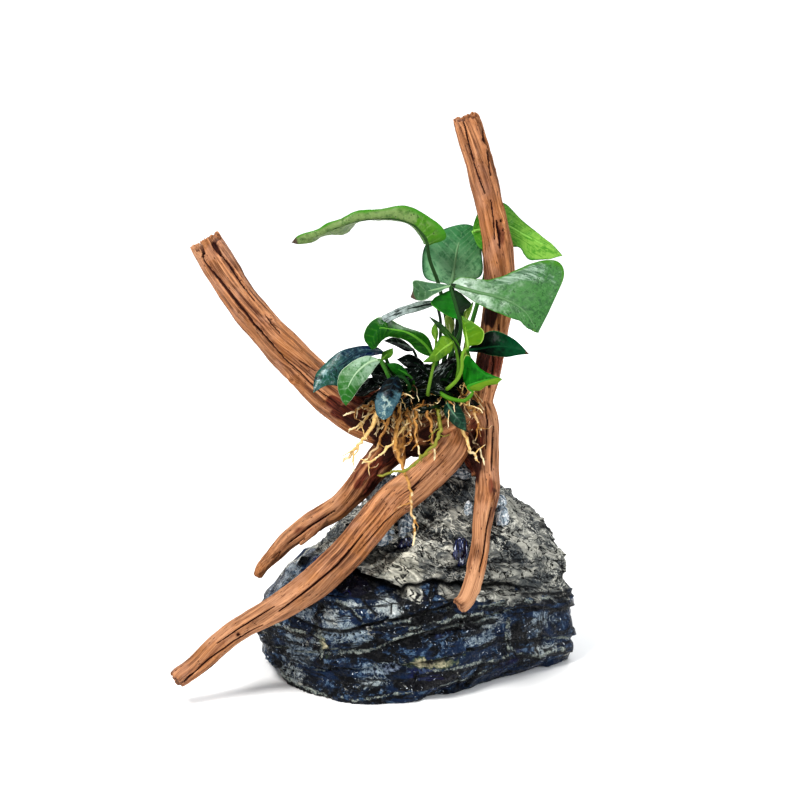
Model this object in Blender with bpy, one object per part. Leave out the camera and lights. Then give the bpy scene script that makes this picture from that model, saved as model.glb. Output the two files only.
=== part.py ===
# Anubias plant growing on a piece of driftwood that is glued to a stone
# All lengths below are in millimetres unless a name says otherwise; the model itself is in metres

import math

import bmesh
import bpy
from mathutils import Matrix, Vector, noise

millimetre = 0.001
collection_name = "anubias_on_stone"
cutter_collection_name = "cutters"

# Driving dimensions
touch_gap = 0.3
cutter_growth = touch_gap * 1.3
wood_knobbliness = 0.055
wood_lump_scale = 0.055
wood_knob_scale = 0.16
wood_knob_share = 0.5
blade_thickness = 0.9
margin_thickness = 0.25
blade_full_width = 3.0  # a blade narrower than this is thinner as well
near_tip = 0.85
stalk_sides = 8
stalk_least_radius = 0.75
stalk_radius_share = 0.02  # of the blade's width
stalk_flare = 1.25
stalk_taper = 0.4
rhizome_radius = 4.5
rhizome_end_narrowing = 1.0
root_taper = 0.45
glue_bumpiness = 0.12
glue_bump_scale = 2.0

# The stone: its lumps and ridges are noise, with scales in waves for each millimetre
stone_centre = Vector((8.0, -4.0, 46.0))
stone_columns = 56
stone_bands = 29
stone_edge_sharpness = 40
stone_lump_depth = 2.4
stone_lump_scales = (0.04, 0.1)
stone_fine_lump_share = 0.5
stone_lump_level = 0.3
stone_ridge_depth = 3.4
stone_ridge_scales = (0.036, 0.036, 0.085)
stone_ridge_pattern = (0.9, 2.1, 2, 1.0, 2.0)  # dimension, lacunarity, octaves, offset and gain
stone_ridge_level = 1.1
stone_block_size = (24.0, 24.0, 13.0)
stone_block_tilt = 0.2
block_turn_scale = 5.3
block_turn_shifts = (0.5, 17.5, 31.5)
stone_block_calm = 0.6  # how much less the blocks lean above the shelf
stone_edge_width = 1.6
stone_least_facing = 0.02  # a plane that turns away further than this bounds nothing
stone_boss_core = 0.45  # share of a boss's reach that stands out in full
stone_wobble_depth = 1.6
stone_wobble_scale = 0.06
stone_wobble_shift = Vector((9.0, 9.0, 9.0))
stone_front = -50.0
stone_fall = -0.14  # how far the ledges fall for each millimetre towards the back
stone_shelf_wobble = 1.5  # times the wobble of the ledges
stone_ledge_level = 0.4  # share of a ledge's depth that stands out

# Where one part of the stone's relief fades into the next, from none to all of it
stone_crust_fade = (-2.0, 2.0)  # height above the shelf
stone_top_fade = (0.5, 0.7)  # how far the surface faces up
stone_ledge_fade = (-3.0, 1.0)  # height above the shelf
stone_front_fade = (0.0, 0.4)  # how far the surface faces the front

# The shelf: along the front, x and height of its edge, then x and depth of the hollow under it
stone_shelf = [
    (-70, 60), (-36, 67), (-27, 70), (-19, 63), (-8, 58.5), (0, 56),
    (8, 59), (16, 61.5), (25, 58.5), (44, 56.5), (63, 52.5), (88, 46),
]
stone_shelf_depth = [(-50, 3), (-36, 6), (-24, 9.5), (-6, 8.5), (8, 3.5), (30, 5), (60, 4), (90, 3)]
stone_shelf_opening = 6.0

# The ledges under it: x and height of the edge along the front, depth and opening of the hollow
stone_ledges = [
    (
        [
            (-50, 40), (-38, 37), (-27, 36), (-15, 39.5), (0, 42),
            (14, 46.4), (34, 50), (53, 50.5), (88, 45),
        ],
        2.8, 4.0,
    ),
    (
        [
            (-60, 22), (-40, 23.5), (-29, 26.5), (-15, 27), (0, 32),
            (19, 36.5), (38, 39.6), (58, 43), (88, 36),
        ],
        3.4, 4.5,
    ),
    (
        [
            (-64, 9), (-54, 10.6), (-34, 16), (-14, 17.5), (10, 20.5),
            (34, 24.8), (53, 26), (88, 22),
        ],
        2.6, 4.0,
    ),
]

# Bosses and hollows of the stone: place, reach, and how far it stands out
stone_bosses = [
    ((-1.0, -50.0, 68.0), 19.0, 4.0), ((-29.0, -46.0, 61.0), 10.0, -5.0),
    ((66.0, -26.0, 66.0), 18.0, 2.5), ((-32.0, -54.0, 36.0), 15.0, 2.5),
    ((40.0, -42.0, 72.0), 12.0, -2.5), ((70.0, -40.0, 30.0), 18.0, 2.0),
    ((66.0, -6.0, 80.0), 5.0, 3.5),
]

# The planes that bound the stone: outward normal, then distance from the origin
stone_planes = [
    ((-1.0, -0.02, -0.05), 68.0),
    ((-0.685, 0.0, 0.728), 70.5),
    ((0.0, 0.0, 1.0), 104.0),
    ((0.657, 0.0, 0.754), 100.5),
    ((0.9, 0.0, 0.43), 99.5),
    ((1.0, 0.0, 0.0), 86.5),
    ((0.0, -0.784, 0.621), 72.0),
    ((0.0, -1.0, 0.0), 53.5),
    ((0.62, -0.78, 0.0), 53.5),
    ((-0.58, -0.815, 0.0), 58.5),
    ((0.45, -0.6, -0.66), 33.0),
    ((-0.7, -0.2, -0.68), 44.5),
    ((0.0, 1.0, 0.1), 49.5),
    ((0.0, 0.7, 0.7), 86.0),
    ((-0.7, 0.7, 0.0), 62.0),
    ((0.7, 0.7, 0.0), 80.0),
]

# Routes of the driftwood: x, y, z and radius, from the free end to the crown
wood_routes = {
    "wood_crown": [
        (-5, 0, 123, 9.8), (4, 0, 122, 11.5), (14, 0, 123, 12.8),
        (24, -1, 126, 12.8), (33, -1, 131, 10.5), (40, -2, 139, 8),
    ],
    "upper_left_branch": [
        (-97.5, 12, 218.8, 8.4), (-86.8, 11, 200, 8.5), (-76.5, 9, 184.5, 8.6),
        (-64.5, 7, 170.5, 9), (-51.5, 5, 157, 9.5), (-37.5, 3, 143.5, 9.8),
        (-24, 1, 132.5, 10), (-12, 0, 126, 10), (-4, 0, 122.5, 9),
    ],
    "upper_right_branch": [
        (32.3, 24, 278.7, 6.5), (35.5, 22, 269, 7), (39, 20, 258, 7.2),
        (41.8, 17, 247, 7.2), (44, 15, 237, 7.2), (46, 13, 227.5, 7.5),
        (47.8, 11, 218, 7.5), (48.8, 9, 208, 7.7), (49.6, 7, 198.5, 7.7),
        (49.2, 5, 188.5, 7.5), (47.8, 4, 178.5, 7.2), (45.8, 2, 166.5, 7),
        (43.9, 0, 154, 6.5), (41, -2, 142, 6.2),
    ],
    "front_left_branch": [
        (-109, -60, 13.1, 4.8), (-98, -57, 20.6, 5.3), (-86, -54, 31, 6),
        (-75, -52, 38.4, 5.8), (-63, -52, 45.3, 6.5), (-51, -53, 53, 7.3),
        (-39, -53, 61.8, 8), (-27, -49.5, 72.5, 8), (-16.5, -43, 83.2, 8),
        (-6, -34, 93.5, 8.3), (5, -28, 100.5, 9), (16, -20, 108, 9.2),
        (25, -12, 116, 8.7), (29, -6, 122, 8),
    ],
    "back_left_branch": [
        (-72.4, -2, 47.7, 2.2), (-69.3, -2, 53, 3.1), (-63.7, -2, 59.7, 4.3),
        (-55, -1, 68, 5.3), (-43, 0, 76.3, 5.8), (-31.4, 1, 83.5, 6.3),
        (-21.8, 1, 93, 6.8), (-14, 1, 103, 7.4), (-6, 1, 112, 8.2),
        (3, 0, 119, 8.6),
    ],
    "right_leg": [
        (40, -2, 138, 6.5), (42.9, -4, 129.6, 6.2), (43.3, -9, 117.8, 6),
        (43.2, -16, 106.5, 6.2), (43, -23, 97.8, 6), (41.5, -29, 91, 5.2),
        (40, -35, 84, 4.7), (39, -42, 75.5, 4.4), (37, -48, 68, 4.4),
        (34.8, -53, 60.5, 4.3), (31.5, -57, 53.5, 4.2), (27.8, -59, 50, 4),
    ],
    "rear_foot": [
        (31, 4, 122, 6), (33, 6, 115, 5.6), (34.5, 8, 110, 5),
        (35, 9, 106.8, 4.4),
    ],
}

# Pieces that an earlier piece of wood is cut away from
wood_joints = {
    "upper_left_branch": ["wood_crown"],
    "upper_right_branch": ["wood_crown"],
    "front_left_branch": ["wood_crown"],
    "back_left_branch": ["wood_crown", "upper_left_branch"],
    "right_leg": ["wood_crown", "front_left_branch"],
    "rear_foot": ["wood_crown"],
}

# The creeping stem that carries leaves and roots: x, y, z
rhizome_route = [
    (-8.5, -7, 141.5), (-2.5, -8, 142.5), (6, -9, 144.5),
    (16, -10, 145.5), (23.5, -10, 147), (29, -9.5, 149.5), (33, -10.5, 151),
]

# Clear glue that holds the wood on the stone: centre, radii and turn about Y in degrees
glue_lumps = {
    "glue_under_foot": ((32, 7, 104.5), (10, 7, 3.4), -8),
    "glue_left": ((-9, -24, 91), (10, 5, 3), -45),
    "glue_beside_leg": ((48, -18, 92), (5, 5, 3.5), 25),
}

glue_colour = (0.80, 0.86, 0.86)
wood_colour = (0.46, 0.23, 0.13)
stone_colour = (0.09, 0.10, 0.13)
leaf_colour = (0.035, 0.13, 0.03)
rhizome_colour = (0.10, 0.13, 0.04)
root_colour = (0.55, 0.36, 0.16)

# Each leaf: the points up its stalk, then rows of left margin, midrib and right margin
leaves = {
    "leaf_long_arched": (
        [
            (20, -8, 147.5), (21.5, -3, 157), (23.5, 0, 174.5), (19.5, 2, 195.5), (15, 3, 208),
            (13.5, 3, 215.5),
        ],
        [
            ((12, 9, 216.5), (13.5, 3, 217), (16.5, 4, 216.5)),
            ((10.5, 13, 217.5), (12, 3, 220.5), (22.5, 6, 220)),
            ((5, 17, 226), (6.5, 3, 226.5), (17, 5, 228.5)),
            ((-4, 18, 227), (-3.5, 2.5, 229.5), (4, 4, 235)),
            ((-16, 16, 228), (-18.5, 1, 229), (-15, 2, 234)),
            ((-29, 10, 221.5), (-30.5, -1, 225.5), (-30, 0, 230)),
            ((-40.5, 3, 219.5), (-41, -2, 221.5), (-40, -2, 225)),
            ((-48.5, -2, 217.5), (-49, -3, 219.5), (-49.5, -3.5, 222)),
            ((-53, -4, 218.5), (-53, -4, 218.5), (-53, -4, 218.5)),
        ],
    ),
    "leaf_round_back": (
        [
            (24, -7, 148.5), (25.5, 1, 157), (26, 8, 170), (26, 14, 187.5), (25.5, 17, 194.5),
        ],
        [
            ((22, 16, 195.5), (25.5, 17, 195), (29.5, 19, 195)),
            ((13, 15, 198), (26.5, 18, 199), (40.5, 22, 198)),
            ((11, 17.5, 206.5), (27.5, 20, 205.5), (41.5, 26.5, 206)),
            ((13, 20.5, 214.5), (29, 22.5, 213), (41, 29, 214.5)),
            ((20.5, 23.5, 221), (31, 25, 219.5), (39, 29.5, 221)),
            ((32, 26.5, 224), (32, 26.5, 224), (32, 26.5, 224)),
        ],
    ),
    "leaf_bright_back": (
        [
            (30, -7, 150), (31.5, -1, 158), (34, 6, 170), (39.5, 20.5, 186), (43.5, 27, 201),
            (41.5, 25.5, 214),
        ],
        [
            ((40, 20, 212.5), (37.5, 22, 221), (39, 24, 229.5)),
            ((47.5, 19, 211.5), (44, 24, 222), (44.5, 26, 233.5)),
            ((56, 18, 213), (53, 25, 223.5), (52.5, 27, 234.5)),
            ((61, 17, 212.5), (62, 25, 219), (61.5, 27, 226)),
            ((65, 16, 207), (70, 23, 215), (71, 25, 218.5)),
            ((73, 17, 207.5), (77, 21, 211.5), (77.5, 22, 213.5)),
            ((81.5, 19, 209), (81.5, 19, 209), (81.5, 19, 209)),
        ],
    ),
    "leaf_big_right": (
        [
            (27.5, -9.5, 151), (29, -8.5, 160), (28, -8, 172), (28.5, -7, 182), (26.5, -7, 190),
            (25.5, -9.5, 197),
        ],
        [
            ((25.5, -11, 198.5), (25.5, -11, 198.5), (25.5, -11, 198.5)),
            ((27.5, -9, 201), (31, -12, 197), (30, -13, 195)),
            ((34, -7, 202), (38, -15, 195.5), (36.5, -16, 191)),
            ((44, -9, 200.5), (46.5, -18, 194), (44.5, -20, 187.5)),
            ((56.5, -10, 206), (54.5, -22, 191.5), (52.5, -24, 185)),
            ((74.5, -11, 211), (60.5, -26, 187.5), (59.5, -27.5, 182.5)),
            ((79.5, -16, 204.5), (63.5, -28.5, 183), (63, -29, 180.5)),
            ((73, -24, 190.5), (65.5, -29.5, 180), (65.5, -30, 179)),
            ((66.5, -30, 178.5), (66.5, -30, 178.5), (66.5, -30, 178.5)),
        ],
    ),
    "leaf_grey_left": (
        [
            (21, -12, 148), (22.5, -13, 156), (25.5, -14.5, 167), (29.5, -17, 178),
            (27.5, -19, 188), (25, -18.5, 196.5),
        ],
        [
            ((24.5, -16, 199), (24.5, -16, 199), (24.5, -16, 199)),
            ((20, -16, 200), (20.5, -17, 198), (21, -18, 197.5)),
            ((13.5, -17, 201), (14, -19, 197), (16, -21, 195)),
            ((6.5, -19, 202), (8, -21, 197), (11.5, -23, 193)),
            ((6.5, -21, 198.5), (6.5, -22, 196), (8, -23, 193)),
            ((5, -23, 194.5), (5, -23, 194.5), (5, -23, 194.5)),
        ],
    ),
    "leaf_green_underside": (
        [
            (24.5, -10.5, 150), (26, -11, 158), (28.5, -12.5, 168), (29.5, -13, 175),
            (30, -12.5, 181.5),
        ],
        [
            ((30, -12, 182), (30, -12, 182), (30, -12, 182)),
            ((25.5, -14, 183), (28, -12.5, 185.5), (32, -9, 186)),
            ((19.5, -16.5, 186.5), (26.5, -14, 190.5), (35, -10, 189)),
            ((15, -18, 190.5), (25, -15, 194.5), (31, -10.5, 193)),
            ((16.5, -16.5, 193), (24, -14.5, 196.5), (27.5, -11, 195.5)),
        ],
    ),
    "leaf_grey_strap": (
        [
            (16, -8, 146.5), (18, -5, 156), (19.5, -4.5, 166), (20, -4.5, 179),
            (18.5, -6.5, 187),
        ],
        [
            ((19, -8, 189.5), (19, -8, 189.5), (19, -8, 189.5)),
            ((12.5, -8, 190.5), (12, -10, 188.5), (11.5, -11, 186.5)),
            ((2.5, -11, 188.5), (2, -12.5, 186.5), (2.5, -14, 184.5)),
            ((-4.5, -14, 186), (-4, -15.5, 184.5), (-3, -16.5, 182.5)),
            ((-9, -16, 184), (-8.5, -17.5, 182.5), (-7.5, -18.5, 180)),
        ],
    ),
    "leaf_arched_green": (
        [
            (17, -12, 147), (19, -13.5, 155), (17.5, -13.5, 161), (16, -13.5, 164.5),
        ],
        [
            ((16.5, -13, 166), (15.5, -13.5, 165), (13.5, -13, 164)),
            ((14.5, -12, 171), (12.5, -15, 169.5), (8, -14, 167)),
            ((10.5, -12, 175), (7.5, -17, 174), (4.5, -15, 170.5)),
            ((5, -12, 177.5), (2, -19, 177), (-0.5, -17, 174)),
            ((-1.5, -12, 179.5), (-4.5, -21, 178.5), (-5, -19, 174.5)),
            ((-9.5, -14, 183), (-10, -24, 179.5), (-8, -22, 173.5)),
            ((-15.5, -17, 180.5), (-12.5, -26, 176), (-10.5, -24.5, 172)),
            ((-17.5, -21, 174.5), (-14, -26, 172.5), (-11.5, -26, 170.5)),
            ((-13.5, -27, 169.5), (-13.5, -27, 169.5), (-13.5, -27, 169.5)),
        ],
    ),
    "leaf_navy_long": (
        [
            (0, -9, 143.5), (-3, -9.5, 153), (-7, -12, 162.5), (-8, -13.5, 165.5),
        ],
        [
            ((-8, -14, 165.5), (-8, -14, 165.5), (-8, -14, 165.5)),
            ((-11.5, -15, 168.5), (-12.5, -17, 167), (-12.5, -18, 165)),
            ((-20.5, -17, 169.5), (-21, -19, 166), (-20.5, -20, 163)),
            ((-30, -19, 166.5), (-28.5, -22, 161.5), (-24.5, -21, 155.5)),
            ((-38, -21, 160), (-35, -24, 157), (-28.5, -22, 151)),
            ((-41.5, -24, 154), (-39.5, -26, 152.5), (-35.5, -25, 151.5)),
            ((-42, -28, 148.5), (-42, -28, 148.5), (-42, -28, 148.5)),
        ],
    ),
    "leaf_grey_oval": (
        [
            (-2, -11, 142.5), (-5, -18, 153), (-9.5, -21, 163),
        ],
        [
            ((-10, -21.5, 163.5), (-10, -21.5, 163.5), (-10, -21.5, 163.5)),
            ((-16, -23, 165.5), (-14.5, -24.5, 163), (-11.5, -23.5, 160.5)),
            ((-23, -25, 163.5), (-20, -27.5, 159.5), (-15, -26, 156.5)),
            ((-28.5, -27, 158.5), (-23.5, -30, 155), (-18.5, -28.5, 152.5)),
            ((-30, -29, 151), (-26, -32, 149.5), (-21.5, -30.5, 148.5)),
            ((-28.5, -31.5, 146), (-26.5, -33, 146.5), (-23.5, -32, 146)),
            ((-26, -34, 143.5), (-26, -34, 143.5), (-26, -34, 143.5)),
        ],
    ),
    "leaf_navy_oval": (
        [
            (4, -12, 144), (4.5, -19.5, 150), (2, -22, 154.5), (-0.5, -22, 155.5),
        ],
        [
            ((-1.5, -22.5, 155.5), (-1.5, -22.5, 155.5), (-1.5, -22.5, 155.5)),
            ((-6, -24, 154.5), (-3, -25.5, 153.5), (0, -24, 153.5)),
            ((-10, -27, 150), (-5, -29, 149.5), (1, -27, 149.5)),
            ((-12, -29.5, 145.5), (-6.5, -31.5, 145), (0, -29.5, 145.5)),
            ((-11.5, -32, 140.5), (-7.5, -33.5, 140.5), (-3.5, -32, 140)),
            ((-8, -34.5, 137), (-8, -34.5, 137), (-8, -34.5, 137)),
        ],
    ),
    "leaf_small_inner": (
        [
            (7, -12, 146.5), (6.5, -15.5, 151.5), (5, -16.5, 154.5),
        ],
        [
            ((4, -16.5, 155), (4, -16.5, 155), (4, -16.5, 155)),
            ((1.5, -16, 159), (1, -17, 157), (-0.5, -16.5, 154.5)),
            ((-2.5, -16.5, 161), (-3, -17.5, 159), (-3.5, -17, 156.5)),
            ((-6.5, -18.5, 161), (-6.5, -18.5, 161), (-6.5, -18.5, 161)),
        ],
    ),
    "leaf_small_lime": (
        [
            (-1, -10, 143.5), (-4.5, -13.5, 153), (-8, -16, 161),
        ],
        [
            ((-9, -16, 162.5), (-9, -16, 162.5), (-9, -16, 162.5)),
            ((-8.5, -16, 166), (-7, -17.5, 165), (-5.5, -17, 163.5)),
            ((-6, -16.5, 167.5), (-5, -17.5, 166.5), (-3.5, -17, 165.5)),
            ((-3.5, -17, 168.5), (-3.5, -17, 168.5), (-3.5, -17, 168.5)),
        ],
    ),
    "leaf_dark_narrow": (
        [
            (31, -12, 150.5), (33, -17, 158), (31.5, -18.5, 164),
        ],
        [
            ((29.5, -18, 167), (29.5, -18, 167), (29.5, -18, 167)),
            ((24.5, -19.5, 172.5), (26.5, -19, 172), (28, -17.5, 172)),
            ((20.5, -21, 176.5), (22.5, -20.5, 177), (24, -19, 177)),
            ((17.5, -22, 180.5), (18.5, -22, 181.5), (19.5, -20.5, 181.5)),
            ((14, -23, 185), (14, -23, 185), (14, -23, 185)),
        ],
    ),
    "leaf_yellow_curl": (
        [
            (27.5, -12, 149.5), (28, -19, 154.5), (28.5, -20.5, 161), (27, -21.5, 169.5),
        ],
        [
            ((25.5, -22, 172.5), (25.5, -22, 172.5), (25.5, -22, 172.5)),
            ((25, -23.5, 169), (23.5, -25, 171.5), (21, -24, 176)),
            ((22, -24.5, 166), (20, -26.5, 169.5), (18.5, -25.5, 174)),
            ((17.5, -26, 163.5), (16, -27.5, 166), (15, -27, 167.5)),
            ((11, -27.5, 163.5), (11, -27.5, 163.5), (11, -27.5, 163.5)),
        ],
    ),
    "leaf_small_lobe": (
        [
            (14.5, -12, 145), (13.5, -21.5, 146.5), (14.5, -24.5, 153), (16.5, -24.5, 163),
            (17.5, -21.5, 171.5),
        ],
        [
            ((17.5, -21, 173), (17.5, -21, 173), (17.5, -21, 173)),
            ((15.5, -21, 176), (17, -22.5, 176.5), (18.5, -21.5, 176.5)),
            ((15.5, -21, 179), (16.5, -22.5, 179.5), (18, -21.5, 179.5)),
            ((17, -21.5, 181.5), (17, -21.5, 181.5), (17, -21.5, 181.5)),
        ],
    ),
    "leaf_pale_round": (
        [
            (22, -12, 147), (23.5, -19.5, 149), (28, -23.5, 154.5), (30, -24.5, 160),
            (30, -25, 165.5), (31.5, -24, 170),
        ],
        [
            ((32, -23, 170.5), (33, -23.5, 170.5), (34.5, -24, 171)),
            ((31.5, -23, 174), (32.5, -24, 174), (39, -26, 172.5)),
            ((31, -22.5, 177.5), (32, -24, 177.5), (40.5, -26.5, 176.5)),
            ((30.5, -22, 181), (31.5, -23, 180.5), (39, -25.5, 180)),
            ((30, -20.5, 185), (30, -20.5, 185), (30, -20.5, 185)),
        ],
    ),
    "leaf_dark_right": (
        [
            (33, -11, 151.5), (34.5, -10.5, 159), (33.5, -12.5, 165.5),
        ],
        [
            ((33, -13, 166.5), (33, -13, 166.5), (33, -13, 166.5)),
            ((37, -13.5, 170.5), (38.5, -16, 168), (39, -15.5, 166)),
            ((42.5, -14.5, 176), (44.5, -19, 169.5), (45, -18, 165.5)),
            ((49, -16.5, 176), (50.5, -21, 170), (51, -20, 164.5)),
            ((56, -19.5, 173), (56.5, -22.5, 169), (56.5, -22, 166)),
            ((62.5, -25, 167), (62.5, -25, 167), (62.5, -25, 167)),
        ],
    ),
    "leaf_lower_right": (
        [
            (18.5, -12, 146), (19.5, -19, 146.5), (24.5, -22.5, 144.5), (30.5, -23, 143.5),
            (33.5, -23, 145), (35.5, -22.5, 147.5),
        ],
        [
            ((35.5, -22, 148), (35.5, -22, 148), (35.5, -22, 148)),
            ((31, -20, 153), (33, -23, 150.5), (36.5, -23, 148.5)),
            ((30.5, -19, 160), (37, -24, 152.5), (39.5, -24, 149.5)),
            ((32.5, -19, 165.5), (41, -25, 154), (42.5, -25, 151.5)),
            ((38, -21, 160), (44.5, -26, 155), (46.5, -26, 152.5)),
            ((44.5, -24, 156.5), (47, -26.5, 155.5), (48, -26.5, 153.5)),
            ((49.5, -27, 155), (49.5, -27, 155), (49.5, -27, 155)),
        ],
    ),
    "leaf_hanging_dark": (
        [
            (22, -12, 145), (22.5, -16, 142.5), (22.5, -18, 142.5),
        ],
        [
            ((23, -18.5, 142), (23, -18.5, 142), (23, -18.5, 142)),
            ((21.5, -22, 139.5), (24, -23.5, 140.5), (28, -22, 142)),
            ((22.5, -25, 136), (26.5, -27, 137.5), (30.5, -25, 138.5)),
            ((27, -28, 132), (29.5, -29.5, 134), (32, -28, 134.5)),
            ((32, -31, 130), (32, -31, 130), (32, -31, 130)),
        ],
    ),
    "shoot_pale_right": (
        [
            (31, -9.5, 151.5), (32.5, -5.5, 162), (32.5, -5, 174.5), (32.5, -5, 179),
        ],
        [
            ((32.5, -5, 179.5), (32.5, -5, 179.5), (32.5, -5, 179.5)),
            ((31, -5, 183), (32.5, -6.5, 183.5), (34.5, -6, 183.5)),
            ((33, -5, 186), (34, -6.5, 186.5), (35.5, -6, 186.5)),
            ((36, -6, 189.5), (36, -6, 189.5), (36, -6, 189.5)),
        ],
    ),
    "shoot_pale_left": (
        [
            (24, -9.5, 150), (24.5, -5, 160), (25.5, -4, 168), (25, -4, 173),
        ],
        [
            ((25, -4, 173.5), (25, -4, 173.5), (25, -4, 173.5)),
            ((23, -4, 176.5), (24.5, -5.5, 177), (27, -5, 177.5)),
            ((22, -4, 180.5), (23.5, -5.5, 181), (25.5, -5, 181.5)),
            ((23, -5, 183.5), (23, -5, 183.5), (23, -5, 183.5)),
        ],
    ),
    "leaf_dark_centre": (
        [
            (24.5, -12.5, 149), (26, -17.5, 154), (28, -17.5, 159),
        ],
        [
            ((29, -16.5, 161.5), (29, -16.5, 161.5), (29, -16.5, 161.5)),
            ((25.5, -16, 164), (25, -18, 160), (27.5, -17.5, 155.5)),
            ((18, -17.5, 159.5), (19.5, -19.5, 155.5), (23.5, -17, 150.5)),
            ((14, -18.5, 154), (16, -19.5, 151.5), (18.5, -18.5, 149.5)),
            ((15, -20, 148.5), (15, -20, 148.5), (15, -20, 148.5)),
        ],
    ),
    "leaf_dark_crown": (
        [
            (14, -10, 146.5), (15.5, -11, 152), (14, -12, 155),
        ],
        [
            ((13.5, -12, 155.5), (13.5, -12, 155.5), (13.5, -12, 155.5)),
            ((10, -12, 162), (9.5, -14, 159.5), (10.5, -13, 156)),
            ((4, -13, 164.5), (4.5, -15, 161.5), (4.5, -14, 157.5)),
            ((-1.5, -15, 162.5), (-1.5, -15, 162.5), (-1.5, -15, 162.5)),
        ],
    ),
    "leaf_dark_strip": (
        [
            (11, -8.5, 145.5), (9, -7, 157.5), (7.5, -8, 164.5),
        ],
        [
            ((6.5, -8, 166), (6.5, -8, 166), (6.5, -8, 166)),
            ((2, -8, 170.5), (2.5, -9.5, 168.5), (3, -9, 165.5)),
            ((-3, -9, 172.5), (-3, -10.5, 170.5), (-2.5, -10, 168.5)),
            ((-8, -11, 171), (-8, -11, 171), (-8, -11, 171)),
        ],
    ),
}

# Each root: its radius where it leaves the stem, then its points
roots = {
    "root_long_front": (1, [
        (2, -11, 143), (0, -20, 135.5), (-2, -26, 128.5), (-1.5, -31, 120.5), (1.5, -37, 113.5),
        (4, -41, 107.5), (5.5, -43, 99), (6, -43, 91.5), (7.5, -42, 84.5), (6.5, -43, 76),
    ]),
    "root_green_runner": (1.1, [
        (17.5, -12, 144), (18.5, -19, 137), (20, -24.5, 131), (17.5, -30, 125), (11.5, -35, 118.5),
        (4, -41, 114), (-4, -41, 112), (-10.5, -39, 110),
    ]),
    "root_left_thick": (1.3, [
        (-5, -9, 142), (-10, -18, 137), (-15, -22, 128.5), (-19.5, -24, 122.5),
        (-23, -25, 117.5), (-28, -25, 113),
    ]),
    "root_left_short": (0.8, [
        (-6, -7, 142), (-12.5, -12.5, 139.5), (-17, -17, 132.5), (-21, -20, 130.5), (-25, -21, 128.5),
    ]),
    "root_left_hanging": (0.9, [
        (-2, -10, 142), (-5, -22, 134.5), (-9, -26, 126.5), (-12.5, -26, 119), (-17.5, -25, 113),
    ]),
    "root_crossing": (0.8, [
        (7, -11, 143.5), (2, -22, 131), (-5, -29, 121), (-13, -30, 116), (-18, -31, 114),
    ]),
    "root_right_thick": (1.2, [
        (24.5, -11, 146), (27, -19.5, 138), (30.5, -25, 129), (33, -28, 123.5), (34, -28, 119.5),
        (37, -26, 116.5), (38.5, -25, 114),
    ]),
    "root_right_yellow": (1.1, [
        (29, -11, 148.5), (32.5, -18, 142), (36, -19.5, 138), (37.5, -20.5, 133.5),
        (40, -21, 128.5),
    ]),
    "root_right_straight": (0.8, [
        (27, -11, 147), (30.5, -20.5, 137), (34.5, -23, 126), (38.5, -24, 119.5),
        (41.5, -25, 113),
    ]),
    "root_far_left": (0.8, [
        (-5, -9, 143), (-13.5, -18, 141.5), (-18.5, -22, 139.5), (-22.5, -24, 138.5),
        (-27.5, -25, 136.5),
    ]),
    "root_centre_short": (0.9, [
        (4, -11, 143.5), (3.5, -20, 136), (5, -24, 129.5), (5, -26, 122),
    ]),
    "root_centre_left": (0.9, [
        (10, -12, 144), (8, -20, 136), (7.5, -25, 128.5), (8.5, -28, 122.5), (9.5, -30, 118),
    ]),
    "root_centre_right": (0.9, [
        (14, -12, 144), (14, -20, 136), (15, -24, 129.5), (15.5, -26, 124.5),
        (17, -28, 119.5), (16.5, -31, 115),
    ]),
}


def clear_scene():
    for thing in list(bpy.data.objects):
        bpy.data.objects.remove(thing, do_unlink=True)


def new_collection(name):
    collection = bpy.data.collections.new(name)
    bpy.context.scene.collection.children.link(collection)
    return collection


def new_material(name, colour, roughness, metallic=0.0):
    material = bpy.data.materials.new(name)
    material.use_nodes = True
    shader = material.node_tree.nodes["Principled BSDF"]
    shader.inputs["Base Color"].default_value = (*colour, 1.0)
    shader.inputs["Roughness"].default_value = roughness
    shader.inputs["Metallic"].default_value = metallic
    return material


def to_metres(point):
    return Vector(point[:3]) * millimetre


def add_object(name, mesh, collection, material=None):
    thing = bpy.data.objects.new(name, mesh)
    collection.objects.link(thing)
    if material:
        thing.data.materials.append(material)
    return thing


def tube(name, points, radii, collection, material, resolution):
    """A capped tube along a route, as a closed mesh."""
    curve = bpy.data.curves.new(name + "_curve", "CURVE")
    curve.dimensions = "3D"
    curve.bevel_depth = millimetre
    curve.bevel_resolution = resolution
    curve.use_fill_caps = True
    spline = curve.splines.new("POLY")
    spline.points.add(len(points) - 1)
    for target, point, radius in zip(spline.points, points, radii):
        target.co = (*to_metres(point), 1.0)
        target.radius = radius
    guide = bpy.data.objects.new(name + "_guide", curve)
    collection.objects.link(guide)
    bpy.context.view_layer.update()
    evaluated = guide.evaluated_get(bpy.context.evaluated_depsgraph_get())
    mesh = bpy.data.meshes.new_from_object(evaluated)
    mesh.name = name
    shape = bmesh.new()
    shape.from_mesh(mesh)
    bmesh.ops.remove_doubles(shape, verts=shape.verts, dist=0.00001)
    bmesh.ops.triangulate(shape, faces=shape.faces)
    bmesh.ops.recalc_face_normals(shape, faces=shape.faces)
    shape.to_mesh(mesh)
    shape.free()
    tube_object = add_object(name, mesh, collection, material)
    tube_object.matrix_world = guide.matrix_world
    bpy.data.objects.remove(guide, do_unlink=True)
    bpy.data.curves.remove(curve)
    return tube_object


def cut(target, cutter):
    modifier = target.modifiers.new("cut_by_" + cutter.name, "BOOLEAN")
    modifier.operation = "DIFFERENCE"
    modifier.solver = "EXACT"
    modifier.object = cutter


def hide_cutter(cutter):
    cutter.hide_render = True
    cutter.display_type = "WIRE"


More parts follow.
